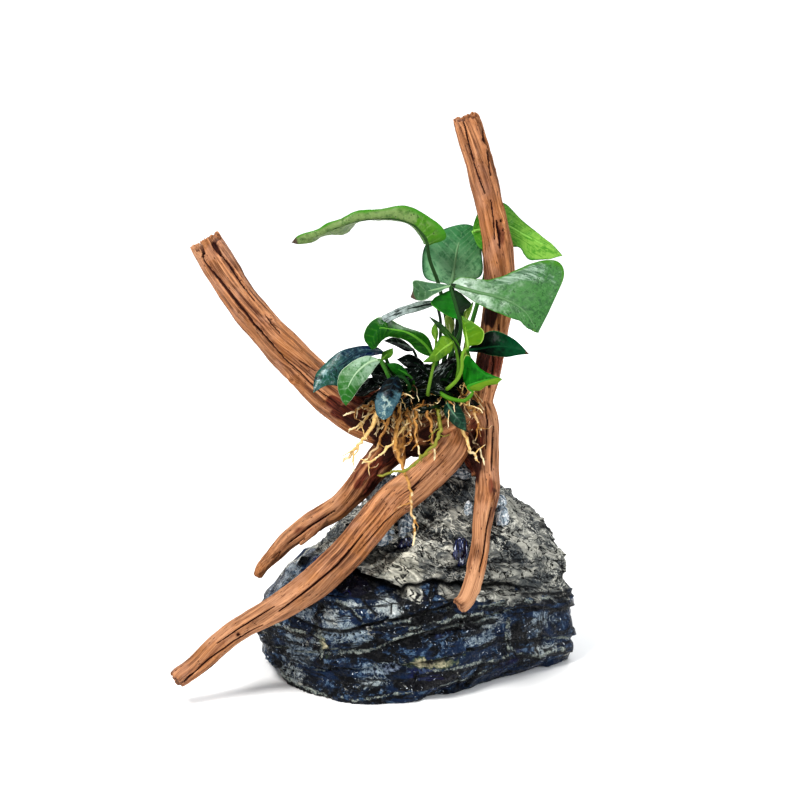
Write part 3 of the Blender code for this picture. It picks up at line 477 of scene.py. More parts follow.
def gapToSeams(place, drop):  # millimetres to the nearest seam, each lowered by drop
    wobble = 0.9 * noiseAt(place, 0.16, 8.0) + 0.5 * noiseAt(place, 0.5, 9.0)
    flat = numpy.column_stack([place[:, 0] + wobble, place[:, 2] + wobble + drop])
    gaps = [lineGap(flat, spots)[0] - half for half, spots in stoneSeams]
    return numpy.minimum(numpy.min(gaps, axis=0), 6.0) + 6 * soft(place[:, 1], 2, 12)


def makeStone():
    bpy.ops.mesh.primitive_cube_add(size=2)
    rock = joinAll("rockBase", bpy.context.object)
    bpy.ops.object.mode_set(mode="EDIT")
    bpy.ops.mesh.select_all(action="SELECT")
    bpy.ops.mesh.subdivide(number_cuts=stone["cuts"])
    bpy.ops.object.mode_set(mode="OBJECT")
    grid = numpy.tan(readMesh(rock, "co") * math.pi / 4)
    directions = grid / lengths(grid)[:, None] + numpy.array(stone["crowding"])
    directions /= lengths(directions)[:, None]
    reach, place, *facts = stoneMain(directions)
    relief, shown = stoneDetail(directions, place, *facts)
    reach = reach + relief
    centre = numpy.array(stone["centre"])
    down = directions[:, 2] < 0
    lowest = numpy.where(down, centre[2] / numpy.where(down, -directions[:, 2], 1.0), 1e6)
    place = centre + directions * numpy.minimum(reach, lowest)[:, None]
    place[:, 2] = numpy.maximum(place[:, 2], 0.0)
    setPlaces(rock, place)
    ragged = 0.55 * noiseAt(place, 0.1, 2.0) + 0.35 * noiseAt(place, 0.3, 4.0)
    shown.update({name: spotShares(place, spots, ragged, 0.4) for name, spots in stonePatches.items()})
    paint(rock, seam=gapToSeams(place, 0.0), seamFoot=gapToSeams(place, 1.5), **shown)
    return rock


# Patches of another colour on the rock, some of them painted shade: place, reach along x, y and z, strength
stonePatches = {
    "pale": [(-7, -53, 48, 9, 14, 7, 1.3), (-2, -56, 44.5, 7, 14, 4, 1.2),
        (-25, -53, 49, 7, 14, 3, 0.9), (-33, -53, 43, 6, 14, 7, 1), (71, -15, 11, 15, 20, 5, 0.85),
        (-53, -33, 7, 11, 14, 6, 0.8), (-14, -56, 11, 10, 14, 3, 0.8), (45, -33, 34, 9, 12, 3, 0.8),
        (54, -27, 26, 2.4, 12, 9, 0.7), (-40, -48, 33, 2.4, 12, 9, 0.9), (44, -50, 15, 14, 14, 3, 0.6),
        (-62, -30, 34, 12, 14, 4, 0.6)],
    "slate": [(-28, -54, 37, 12, 14, 10, 1.25), (-48, -39, 21, 12, 14, 9, 1),
        (-49, -42, 42, 12, 14, 5, 0.7), (-56, -5, 46, 14, 40, 13, 0.9), (39, -41, 27, 16, 14, 5, 0.8),
        (70, -17, 27, 14, 20, 8, 0.55), (-8, -55, 18, 14, 14, 4, 0.7)],
    "veil": [(44, -33, 50, 22, 18, 7, 1.2), (63, -20, 44, 22, 20, 5, 1.2),
        (81, -4, 43, 11, 24, 7, 1.2), (5, -52, 54.5, 11, 14, 4, 1), (27, -46, 55, 13, 14, 4.5, 1),
        (30, 44, 40, 40, 24, 9, 1), (-44, 30, 44, 24, 26, 8, 1)],
    "murky": [(74, -40, 58, 16, 16, 10, 1), (30, -40, 60, 10, 12, 5, 0.8),
        (26, -14, 96, 18, 12, 8, 0.6), (76, -10, 50, 8, 16, 4, 1.2), (2, 30, 70, 24, 22, 9, 1),
        (48, 30, 56, 16, 20, 8, 1), (-34, 24, 64, 14, 18, 7, 1)],
    # near-black painted shade under the shelf, under the ledges and along the foot
    "black": [(13, -55, 43, 18, 14, 5, 1.15), (3, -55, 31, 13, 14, 3.4, 1.1),
        (-22, -48, 58, 14, 14, 7, 1), (30, -46, 40, 16, 14, 4, 0.9), (12, -50, 9, 26, 14, 4, 0.8)],
    # deep violet painted shade under the shelf's overhang
    "violet": [(-22, -50, 57, 11, 14, 6, 1.1), (-6, -54, 18, 10, 14, 4, 0.6)],
    "cream": [(-2, -52, 70, 30, 22, 18, 0.75), (30, -48, 72, 16, 14, 8, 0.4)],
    "tan": [(17.5, -57, 20.5, 15, 14, 4.4, 1.2), (-37.8, -54, 26, 3.2, 8, 5.4, 1.8)],
}
# Thin pale seams along the front: half the width, then x and height of each point
stoneSeams = [
    (0.6, [(-36, 23), (-28, 25), (-18, 26), (-12, 27), (-7, 30), (-1, 34), (7, 36), (17, 37), (33, 37), (47, 36)]),
    (0.3, [(-18, 40), (-10, 39), (-1, 41), (5, 42)]),
    (0.35, [(-64, 32), (-57, 32), (-49, 31), (-42, 32), (-38, 29)]),
    (0.5, [(-41, 38), (-39, 32), (-38, 27), (-38, 21)]), (0.5, [(-31, 51), (-24, 49), (-19, 43)]),
    (0.6, [(-68, 11), (-60, 5), (-55, 3), (-47, 2), (-36, 1.5)]),
    (0.4, [(7, 15), (18, 17), (26, 16), (37, 15), (46, 13), (54, 14), (60, 14)]),
    (0.35, [(54, 35), (53, 28), (54, 18), (60, 14)]), (0.7, [(60, 14), (69, 10), (78, 10), (85, 10)]),
    (0.35, [(-30, 3), (-22, 2), (-10, 4), (1, 5), (7, 5)]), (0.4, [(18, 6), (28, 8), (37, 8), (45, 10)]),
    (0.6, [(39, 44), (49, 43), (60, 41), (72, 40), (86, 37)]), (0.25, [(1, 43), (9, 45), (18, 47), (25, 47)]),
    (0.3, [(5, 39), (16, 41), (28, 41), (40, 40)])
]


def stoneSkin():
    board = Board("veinedRock")
    mix, cover, fade, cloud, value = board.mix, board.cover, board.fade, board.cloud, board.value
    crust, pale = value("crust"), value("pale")
    grain = cloud(0.9, 5, 0.7)
    flaky = cloud(0.5, 6, 0.7, 1.5, (0.4, 0.4, 1.2))
    mottle = cloud(0.5, 5, 0.72, 0.9)
    murk = cloud(0.11, 5, 0.6, 1.2)
    web = abs(cloud(0.11, 4, 0.5, 1.3) - 0.5)
    speckled = mottle - 0.5
    cloudy = murk - 0.5
    flaked = flaky - 0.5
    # The bare rock below the shelf
    slate = mix(fade(mottle * 0.7 + flaky * 0.4, 0.46, 0.66), "2c3e52", "8e9ca6")
    chalk = mix(fade(mottle * 0.7 + grain * 0.5 + pale * 0.1, 0.58, 0.82), "2c3a4a", "b8bebc")
    along = cloud(0.08, 3, sizes=(0.5, 0.5, 1))
    bedLine = abs(board.sum("FRACT", value("bed") + (along - 0.5) * 0.3 + flaked * 0.1 + 0.5) - 0.5)
    # painted shadow: a thin near-black band just below each pale seam
    foot = fade(value("seamFoot") + flaked * 2.4, 0.9, 0.1)
    seam = fade(value("seam") + speckled * 4 + cloudy * 4 + flaked * 2, 0.35, -0.25)
    navy = cover(
        mix(fade(cloud(0.075, 3, 0.5, 0.8, (0.6, 0.6, 1.3)), 0.4, 0.58), "030509", "0d203a"),
        (fade(murk + speckled * 0.5, 0.48, 0.64) * 0.85, "162c48"),
        (fade(murk * 0.6 + mottle * 0.6, 0.64, 0.75) * 0.7, "5c768e"),
        (fade(cloud(0.05, 2, 0.5), 0.58, 0.68) * 0.55, "140e42"),
        # violet painted shade under the overhang
        (fade(value("violet") + speckled * 2, 0.5, 0.75) * 0.85, "281c6c"),
        (fade(value("slate") + speckled * 1.1 + cloudy * 0.8, 0.4, 0.8) * 0.92, slate),
        (fade(pale + flaked * 1.6 + speckled * 2.6, 0.45, 0.95) * 0.9, chalk),
        (fade(web, 0.02, 0) * fade(pale + value("slate") + cloudy * 2, 0.1, 0.6) * 0.75, "a0acae"),
        (fade(bedLine, 0.05, 0.015) * fade(flaky + cloudy, 0.46, 0.6) * 0.7, "80887e"),
        (fade(cloud(0.16, 4, 0.6, 0.6, (0.35, 0.5, 1.9)), 0.53, 0.6) * 0.85, "020307"),
        # near-black painted shade in the patches listed as such
        (fade(value("black") + flaked * 0.8, 0.3, 0.6) * 0.95, "020205"),
        (foot * 0.9, "030407"),
        (seam * 0.85, mix(fade(grain, 0.4, 0.6), "485458", "acb2a8")),
        # painted highlight: small white sparkles where the glassy rock would catch the lamps
        (fade(cloud(0.6, 2, 0.5, 0.8), 0.68, 0.73) * fade(murk, 0.44, 0.56), "dee6ee"),
    )
    # The pale crust on top, streaked along the beds
    tilted = board.add("ShaderNodeVectorRotate", {"rotation_type": "Y_AXIS"}, {"Vector": board.place, "Angle": -0.5})
    flowing = board.stretch(tilted, (0.5, 0.6, 1.25))
    swirl = cloud(0.1, 4, 0.55, 0.9, where=flowing)
    swirled = swirl - 0.5
    grey = mix(fade(swirl, 0.4, 0.62), "4a4d4d", "a09f96")
    cream = mix(fade(swirl + flaked * 0.3, 0.4, 0.62), "88867a", "dedbcc")
    deep = cloud(0.075, 4, 0.6, 0.8, where=flowing) - value("cream") * 0.2 + value("murky") * 0.3
    zones = fade(cloud(0.04, 2, 0.5), 0.4, 0.58)
    threads = abs(cloud(0.22, 3, 0.5, 1, where=flowing) - 0.53)
    folds = abs(cloud(0.13, 3, 0.55, 1.4, where=flowing) - 0.48)
    crevice = fade(cloud(0.13, 4, 0.6, 1, (0.4, 0.45, 1.1), tilted), 0.6, 0.65)
    crusty = cover(
        grey,
        # cream, stronger on raised parts: the crust's own colour, and partly a painted highlight on its ridges
        (fade(value("proud") * 0.45 + value("cream") * 0.9 + swirled * 1.2, 0.2, 0.85), cream),
        (fade(deep, 0.49, 0.6) * 0.85, mix(fade(grain, 0.4, 0.6), "141920", "4a5054")),
        (fade(web, 0.03, 0) * (zones * 0.6 + 0.25), "e8e6da"),
        (fade(threads, 0.03, 0) * (zones * 0.4 + 0.15), "cecdc2"),
        # near-black fold lines and crevices: painted shade in the crust's grooves
        (fade(folds, 0.034, 0.008) * fade(flaky, 0.34, 0.46), "08090c"),
        (crevice * 0.85, "0c0e12"),
    )
    veil = fade(value("veil") + swirled * 2.4 + flaked * 1.4, 0.35, 0.6)
    tan = value("tan") + (grain - 0.5) * 0.7 + flaked * 0.5
    # near-black painted shade in the recesses, a little weaker on the crust
    dark = fade(value("hollow") + (grain - 0.5) * 0.3, 0.2 + crust * 0.12, 0.8)
    colour = cover(
        navy,
        (board.sum("MAXIMUM", crust, veil), crusty),
        (fade(tan, 0.1, 0.4) * 0.7, "3c4a32"),
        (fade(tan, 0.3, 0.75), mix(fade(flaky * 0.6 + grain * 0.5, 0.45, 0.65), "585c48", "beb698")),
        (dark * (0.96 - crust * 0.2), "040508"),
    )
    bare = 1.0 - crust
    chips = board.cells(0.3, (0.7, 0.7, 1.2)) * bare
    relief = grain * 0.35 + flaky * 0.8 + swirl * 0.6 + chips * 1.3 - crevice * 0.5 + seam * 0.5 - foot * 0.5
    board.bump(relief, 0.7, 0.8)
    glassy = fade(mottle, 0.5, 0.62) * bare * 0.5
    rough = 0.74 - fade(grain, 0.35, 0.6) * bare * 0.56
    return board.finish(
        Base_Color=colour, Roughness=rough, Specular_IOR_Level=0.14, Coat_Weight=glassy, Coat_Roughness=0.12)


rock = makeStone()
dress(rock, stoneSkin(), "stone", "stone")
print("stone made:", len(rock.data.polygons), "faces")


# Routes of the driftwood: x, y, z and radius, from the free end to the crown
woodRoutes = {
    "wood_crown": [(-5, 0, 123, 9.8), (4, 0, 122, 11.5), (14, 0, 123, 12.8), (24, -1, 126, 12.8),
        (33, -1, 131, 10.5), (40, -2, 139, 8)],
    "upper_left_branch": [(-97.5, 12, 218.8, 8.4), (-86.8, 11, 200, 8.5), (-76.5, 9, 184.5, 8.6),
        (-64.5, 7, 170.5, 9), (-51.5, 5, 157, 9.5), (-37.5, 3, 143.5, 9.8), (-24, 1, 132.5, 10), (-12, 0, 126, 10),
        (-4, 0, 122.5, 9)],
    "upper_right_branch": [(32.3, 24, 278.7, 6.5), (35.5, 22, 269, 7), (39, 20, 258, 7.2), (41.8, 17, 247, 7.2),
        (44, 15, 237, 7.2), (46, 13, 227.5, 7.5), (47.8, 11, 218, 7.5), (48.8, 9, 208, 7.7), (49.6, 7, 198.5, 7.7),
        (49.2, 5, 188.5, 7.5), (47.8, 4, 178.5, 7.2), (45.8, 2, 166.5, 7), (43.9, 0, 154, 6.5), (41, -2, 142, 6.2)],
    "front_left_branch": [(-109, -60, 13.1, 4.8), (-98, -57, 20.6, 5.3), (-86, -54, 31, 6), (-75, -52, 38.4, 5.8),
        (-63, -52, 45.3, 6.5), (-51, -53, 53, 7.3), (-39, -53, 61.8, 8), (-27, -49.5, 72.5, 8),
        (-16.5, -43, 83.2, 8), (-6, -34, 93.5, 8.3), (5, -28, 100.5, 9), (16, -20, 108, 9.2), (25, -12, 116, 8.7),
        (29, -6, 122, 8)],
    "back_left_branch": [(-72.4, -2, 47.7, 2.2), (-69.3, -2, 53, 3.1), (-63.7, -2, 59.7, 4.3), (-55, -1, 68, 5.3),
        (-43, 0, 76.3, 5.8), (-31.4, 1, 83.5, 6.3), (-21.8, 1, 93, 6.8), (-14, 1, 103, 7.4), (-6, 1, 112, 8.2),
        (3, 0, 119, 8.6)],
    "right_leg": [(40, -2, 138, 6.5), (42.9, -4, 129.6, 6.2), (43.3, -9, 117.8, 6), (43.2, -16, 106.5, 6.2),
        (43, -23, 97.8, 6), (41.5, -29, 91, 5.2), (40, -35, 84, 4.7), (39, -42, 75.5, 4.4), (37, -48, 68, 4.4),
        (34.8, -53, 60.5, 4.3), (31.5, -57, 53.5, 4.2), (27.8, -59, 50, 4)],
    "rear_foot": [(31, 4, 122, 6), (33, 6, 115, 5.6), (34.5, 8, 110, 5), (35, 9, 106.8, 4.4)],
}
# Driftwood: tubes along the routes, fused by a voxel remesh, then cut by grain, cracks and knots
wood = {
    "pieces": {  # name: limbs fused together, each of one route or of routes end to end; size of a voxel
        "driftwoodFork": ([("wood_crown",), ("upper_left_branch",), ("back_left_branch",), ("rear_foot",),
                           ("backTwig",), ("crownShoulder",), ("darkSpur",)], 0.51),
        "driftwoodRight": ([("upper_right_branch", "right_leg")], 0.42),
        "driftwoodFront": ([("front_left_branch",)], 0.4),
    },
    "lumps": 0.055,  # share of the limb's thickest radius
    "lobeDepth": 0.45,
    "ribDepth": 0.32,
    "fibreDepth": 0.2,
    "twist": 0.008,
    "crackDepth": 1.7,
    "crackWidth": 0.02,
    "smoothing": 8,
    "brokenEnds": [  # place, direction out of the wood, how deep it is splintered, reach
        ((-97.5, 12, 218.8), (-0.49, 0.05, 0.87), 4.2, 9), ((32.3, 24, 278.7), (-0.3, 0.18, 0.93), 3.4, 8),
        ((-109, -60, 13.1), (-0.8, -0.2, -0.56), 1.8, 5), ((27.8, -59, 50), (-0.4, -0.45, -0.8), 1.6, 5),
    ],
    "notches": [((-100.4, 219), 1.5, 6), ((29.9, 281), 0.9, 3.5)],  # x and z, half width, depth
}
shownOnly = {
    "backTwig": [(-38, -4, 78, 1.9), (-42, -6, 74, 1.5), (-46, -7, 70, 1.1), (-50.5, -7, 66, 0.6)],
    "crownShoulder": [(-30, 4, 136, 5.5), (-23, 4, 139.5, 6), (-15, 4, 139.5, 6), (-6, 4, 134, 6)],
    "darkSpur": [(30, -1, 124, 6.5), (34, -4, 116, 6), (37, -8, 109, 5), (39, -12, 103.5, 3.6)],
}
woodRoutes.update(shownOnly)

# Knots: place, radius, how far the ring stands out and how deep the eye goes
knots = [
    ((41.5, 15, 267.5), 1.9, 0.3, 2.4), ((43.3, 14.5, 263.6), 1.5, 1.3, 0.2), ((50.4, 6, 228.2), 1.9, 0.5, 2.6),
    ((47.4, 3, 229.4), 1.5, 1.6, 0.2), ((50.8, 5, 223.4), 1.2, 1, 0.2), ((38.6, 4.5, 226.8), 1.3, 0.3, 1.8),
    ((43.2, 1.5, 210.3), 1.3, 0.3, 1.9), ((44, 0.8, 206.1), 1.1, 0.3, 1.5), ((27.5, 21, 271.3), 1, 0.2, 1.4),
    ((-99.4, 4.5, 210.5), 0.9, 0.3, 1.5), ((-98, 4, 207.4), 0.9, 0.3, 1.5), ((-73.8, 0, 197.3), 1.5, 0.9, 1.2),
    ((-53.8, -4, 149.6), 2.4, 1.3, 1.8), ((-95.9, -62, 29.9), 2, 0.7, 1), ((-77.8, -58, 35.9), 1.8, 0.5, 1.2),
    ((45.8, -31, 102.9), 2.2, 0.9, 2), ((44.5, -38, 96.5), 2.4, 0.8, 2.2), ((-30, -56.5, 66), 1.6, 0.4, 1.2),
    ((36.5, -55.5, 58), 1.6, 0.5, 1.2), ((-44, -4.5, 72), 1.8, 0.8, 1), ((-70, 16.5, 182), 2.6, 1.2, 1.8),
    ((52, 18, 208), 2.4, 1.1, 1.6), ((-60, -44, 48), 2.2, 0.9, 1.4), ((30.5, -63.5, 51), 1.2, 0.3, 1.4)
]
# Long cracks on the side that faces the camera: widest half width, then x and z along each
woodCracks = [
    (0.85, [(-100.1, 218.3), (-96.8, 208.1), (-88.4, 197.6), (-81, 188.7), (-72.4, 177.4), (-63.3, 167.6)]),
    (0.4, [(-72.4, 177.4), (-63.3, 167.6), (-56.5, 159.8), (-50.4, 154.3), (-40.6, 145), (-30, 137)]),
    (0.5, [(-66.8, 182.1), (-63.5, 177.6), (-59.4, 173)]), (0.4, [(-49.7, 159.8), (-41.1, 154.5)]),
    (1.5, [(-93.6, 221.6), (-91, 216.4), (-87.9, 211.5)]),
    (0.6, [(-87.9, 211.5), (-84.1, 206.8), (-78, 197.2), (-71.8, 188.9)]),
    (0.45, [(29.6, 281), (31.6, 273.8), (33.1, 267.9), (36.8, 254.5), (41.7, 241.3)]),
    (0.7, [(40.9, 273.5), (41.6, 267.5), (43.4, 262.4), (45.3, 250.4)]),
    (0.7, [(47.4, 228), (48.6, 222), (49.3, 215)]), (0.35, [(44.6, 238), (46, 228), (46.4, 219)]),
    (0.5, [(-104, 13.5), (-92, 24.5), (-80, 32.5), (-66, 40.5)]),
    (0.6, [(-58, 48), (-44, 59.5), (-30, 71), (-18, 84)]), (0.4, [(-88, 32), (-74, 41), (-60, 50.5)]),
    (0.4, [(-20, 76), (-8, 88), (4, 96)]), (0.6, [(44.5, 92), (42.5, 84), (40.5, 74), (38, 66)]),
    (0.4, [(46.5, 128), (46, 118), (45, 108)]), (0.4, [(42, 140), (43.5, 130), (42.5, 118)]),
    (0.5, [(-56, 66.5), (-44, 76), (-33, 83)]), (0.5, [(45, 170), (46.5, 158), (44.5, 147)]),
    (0.4, [(49, 178), (49.5, 166), (48, 154)])
]
# Rotten and shaded places, sun-bleached ones, and deep shade under the plant: place, reach along x, y and z, strength
rotPlaces = [
    (0, -10, 113, 22, 12, 12, 1), (-33, -6, 139.5, 6, 12, 4, 1), (-27, -7, 135, 7, 12, 5, 1),
    (-20, -8, 131, 8, 12, 7, 0.8), (-42, 0, 72, 16, 9, 4.5, 0.7), (37, -12, 122, 5, 16, 15, 0.9),
    (45, -4, 158, 9, 12, 9, 0.75), (31, 23, 281, 9, 12, 2.5, 0.4), (14, -24, 97, 14, 8, 6, 0.7),
    (50, 4, 222, 3, 9, 7, 0.6), (45, -30, 103, 3, 8, 8, 0.6), (-91, 4, 216, 3, 9, 6, 0.5),
    (36, -8, 110, 6, 12, 14, 1.3), (-18, -2, 142, 12, 9, 7, 1), (-17, 0, 100, 9, 12, 12, 1),
    (44, 10, 225, 12, 16, 60, 0.35)
]
palePlaces = [
    (33, -54, 58, 10, 14, 18, 1), (40, -38, 84, 8, 16, 14, 0.5), (-62, -54, 46, 52, 20, 34, 0.45),
    (-52, 0, 68, 26, 12, 20, 0.45), (-103, 10, 212, 7, 14, 14, 0.6), (-70, 8, 168, 14, 14, 12, 0.4),
    (10, -24, 101, 24, 20, 16, 0.6), (50, -4, 118, 7, 16, 24, 0.9), (-34, 0, 92, 7, 12, 20, 0.6),
    (26, -18, 116, 8, 12, 7, 0.7)
]
gloomPlaces = [
    (-3, -10, 119, 17, 14, 9, 0.9), (11, -10, 113, 12, 12, 9, 1), (37, -10, 110, 4.5, 12, 18, 1),
    (-15, -8, 129, 12, 12, 6, 0.7), (14, -14, 124, 9, 10, 7, 0.9), (34, -4, 116, 6, 12, 14, 0.9),
    (-17, 0, 100, 6, 10, 8, 0.7), (41, 18, 248, 12, 24, 34, 0.36), (49, 10, 212, 12, 24, 24, 0.36),
    (43, -8, 112, 9, 14, 26, 0.4), (-30, 0, 136, 16, 14, 10, 0.34), (44.5, -3, 182, 5, 7, 8, 1.1),
    (42, -5, 168, 3.6, 7, 8, 1.1), (39, -7, 156, 4.6, 8, 9, 1.1), (46.6, -24, 99, 2.2, 8, 3.6, 1.4),
    (45, -26, 91.5, 1.7, 8, 3.8, 1.4)
]


def limbRoute(names):
    return [point for name in names for point in woodRoutes[name]]


def limbGuide(limbs):  # centre, radius, direction and side of each limb at every millimetre
    rows = []
    for names in limbs:
        route = flow(limbRoute(names), 1.0)
        centres = route[:, :3]
        along = numpy.gradient(centres, axis=0)
        along /= lengths(along)[:, None]
        travel = numpy.cumsum(lengths(numpy.diff(centres, axis=0, prepend=centres[:1])))
        side = numpy.cross(along[0], (0.0, 1.0, 0.2))
        for index, ahead in enumerate(along):
            side = side - ahead * (side @ ahead)
            side /= numpy.linalg.norm(side)
            rows.append([*route[index], *ahead, *side, travel[index]])
    return numpy.array(rows)


def grainPlaces(points, guide):  # each point as across, across and along the nearest limb
    grain = []
    for start in range(0, len(points), 8000):  # a part at a time, to spare memory
        part = points[start : start + 8000]
        rows = guide[(lengths(part[:, None, :] - guide[None, :, :3]) / guide[None, :, 3]).argmin(axis=1)]
        offset = part - rows[:, :3]
        along, side = rows[:, 4:7], rows[:, 7:10]
        sums = [(offset * axis).sum(axis=1) for axis in (side, numpy.cross(along, side), along)]
        grain.append(numpy.column_stack([sums[0], sums[1], rows[:, 10] + sums[2]]))
    return numpy.vstack(grain)


def bellAt(gap, reach):
    return numpy.exp(-((gap / reach) ** 2))


def carveWood(limb, limbs):
    guide = limbGuide(limbs)
    points = getPlaces(limb)
    normals = readMesh(limb, "normal")
    facing = -normals[:, 1]  # towards the camera
    grain = grainPlaces(points, guide)
    push = wood["lumps"] * max(guide[:, 3]) * (noiseAt(points, 0.055) + 0.5 * noiseAt(points, 0.16))
    twist = wood["twist"] * grain[:, 2]
    warp = grain.copy()
    warp[:, 0] = grain[:, 0] * numpy.cos(twist) - grain[:, 1] * numpy.sin(twist)
    warp[:, 1] = grain[:, 0] * numpy.sin(twist) + grain[:, 1] * numpy.cos(twist)
    warp = warp + 0.9 * noiseAt(points, 0.05, 3.0)[:, None] * (1, 1, 0)
    push += wood["lobeDepth"] * noiseAt(warp, (0.17, 0.17, 0.014), 1.0)
    ribs = noiseAt(warp, (0.42, 0.42, 0.016), 2.0)
    push += wood["ribDepth"] * (0.5 - abs(ribs) * 2.2)
    fibres = noiseAt(warp, (1.25, 1.25, 0.035), 4.0)
    push += wood["fibreDepth"] * (fibres + 0.6 * noiseAt(warp, (2.4, 2.4, 0.06), 5.0))
    split = abs(noiseAt(warp, (0.26, 0.26, 0.008), 6.0))
    split = (1 - soft(split, 0.0, wood["crackWidth"])) * soft(noiseAt(warp, (0.08, 0.08, 0.02), 7.0), 0.02, 0.2)
    shade = 0.75 * split + 0.35 * soft(-ribs, 0.1, 0.35) * soft(-fibres, 0.0, 0.4)
    push -= 0.8 * wood["crackDepth"] * split
    wobble = 0.4 * noiseAt(points, 0.06, 5.0) + 0.18 * noiseAt(points, 0.6, 6.0)
    flat = points[:, (0, 2)] + wobble[:, None]
    for widest, line in woodCracks:
        gap, share = lineGap(flat, line)
        width = widest * (0.3 + 0.7 * numpy.sin(math.pi * numpy.clip(share, 0.06, 0.94)) ** 0.6)
        hit = (1 - soft(gap / width, 0.5, 1.25)) * soft(facing, 0.0, 0.25)
        push -= wood["crackDepth"] * hit * numpy.minimum(1.0, 0.5 + 0.6 * width)
        shade = numpy.maximum(shade, hit)
    for centre, radius, ring, eye in knots:
        gap = lengths(points - centre)
        near = gap < radius * 3
        push += near * ring * bellAt(gap - radius, 0.5 * radius)
        push -= near * (ring * 0.4 + eye) * bellAt(gap, 0.5 * radius)
        shade = numpy.maximum(shade, near * bellAt(gap, 0.62 * radius))
    ragged = 0.35 * noiseAt(points, 0.14, 8.0) + 0.4 * noiseAt(warp, (0.35, 0.35, 0.05), 9.0)
    rot = spotShares(points, rotPlaces, ragged)
    shade = numpy.maximum(shade, spotShares(points, gloomPlaces, ragged * 1.3))
    push += rot * (0.9 * (ridgesAt(warp, (0.34, 0.34, 0.12), 4, 2.0) - 1.2) - 0.4)
    moved = points + normals * push[:, None]
    for end, outward, depth, reach in wood["brokenEnds"]:
        outward = numpy.array(outward) / numpy.linalg.norm(outward)
        offset = points - end
        inward = -offset @ outward
        near = (1 - soft(inward, 0.0, reach)) * (lengths(offset) < reach * 2)
        across = offset + inward[:, None] * outward
        jag = soft(noiseAt(across, 0.16, 3.0) + 0.6 * noiseAt(across, 0.55, 4.0), -0.5, 0.5)
        for notch, halfWidth, notchDepth in wood["notches"]:
            gap = abs((flat[:, 0] - notch[0]) * outward[2] - (flat[:, 1] - notch[1]) * outward[0]) / halfWidth
            jag = numpy.maximum(jag, notchDepth / depth * (1 - soft(gap, 0.3, 1.1)) * soft(facing, -0.4, 0.2))
        moved -= outward * (depth * jag * near)[:, None]
        face = soft(normals @ outward, 0.55, 0.85) * (near > 0.5)
        shade = numpy.maximum(shade, 0.6 * face * (0.3 + 0.7 * jag))
    setPlaces(limb, moved)
    pale = spotShares(points, palePlaces, ragged)
    paint(limb, grain=warp, shade=numpy.clip(shade, 0, 1), rot=rot, pale=pale, ribs=soft(ribs, -0.35, 0.35))


def makeDriftwood(name, limbs, voxel):
    tubes = []
    for names in limbs:
        route = flow(limbRoute(names), 1.6)
        tubes.append(addTubes(names[0] + "Tube", [(route[:, :3], route[:, 3])], 12))
    fused = joinAll(name, *tubes)
    remesh = fused.modifiers.new("fuse", "REMESH")
    remesh.mode = "VOXEL"
    remesh.voxel_size = voxel * millimetre
    relax = fused.modifiers.new("relax", "SMOOTH")
    relax.factor = 0.5
    relax.iterations = wood["smoothing"]
    applyAll(fused)
    carveWood(fused, limbs)
    return fused


def woodSkin():
    board = Board("bareDriftwood")
    mix, cover, fade, cloud, value = board.mix, board.cover, board.fade, board.cloud, board.value
    grain = value("grain", "Vector")
    streak = cloud(1, 4, 0.6, 0, (0.5, 0.5, 0.018), grain)
    fibre = cloud(1, 4, 0.65, 0, (2.6, 2.6, 0.05), grain)
    hair = cloud(1, 2, 0.6, 0, (7, 7, 0.16), grain)
    flecks = fade(board.cells(0.9, (0.8, 0.8, 0.24), grain), 0.2, 0.1) * fade(cloud(0.12, 2), 0.42, 0.52)
    tan = cover(
        mix(fade(streak, 0.36, 0.64), "4a2816", "bc845c"),
        (fade(cloud(0.05), 0.46, 0.62) * 0.45, "9c6432"),
        (fade(cloud(0.08), 0.5, 0.64) * 0.35, "b88a72"),
        (value("pale") * 0.85, mix(streak, "a06a44", "d8aa86")),
        (fade(fibre, 0.5, 0.74) * 0.5, "deae88"),
        (fade(fibre, 0.48, 0.3) * 0.85, "462414"),
        (fade(value("ribs"), 0.5, 0) * 0.22, "603222"),
        (flecks * 0.9, "32140c"),
    )
    rotten = fade(value("rot") + (fibre - 0.5) * 0.8 + (streak - 0.5) * 0.5, 0.3, 0.8)
    shaded = fade(value("shade") + (hair - 0.5) * 0.3, 0.2, 0.75)
    red = mix(fade(fibre, 0.35, 0.65), "2c0c08", "783a26")
    colour = cover(tan, (rotten, red), (shaded, mix(fade(hair, 0.35, 0.7), "140706", "4e2216")))
    board.bump(fibre + hair * 0.5, 0.6, 0.35)
    return board.finish(Base_Color=colour, Roughness=0.78 - hair * 0.2, Specular_IOR_Level=0.2)


driftwoodSkin = woodSkin()
for pieceName, (limbNames, voxelSize) in wood["pieces"].items():
    driftwood = makeDriftwood(pieceName, limbNames, voxelSize)
    replaced = [name for names in limbNames for name in names if name not in shownOnly]
    dress(driftwood, driftwoodSkin, "wood", *replaced)
    print(pieceName, "made:", len(driftwood.data.polygons), "faces")


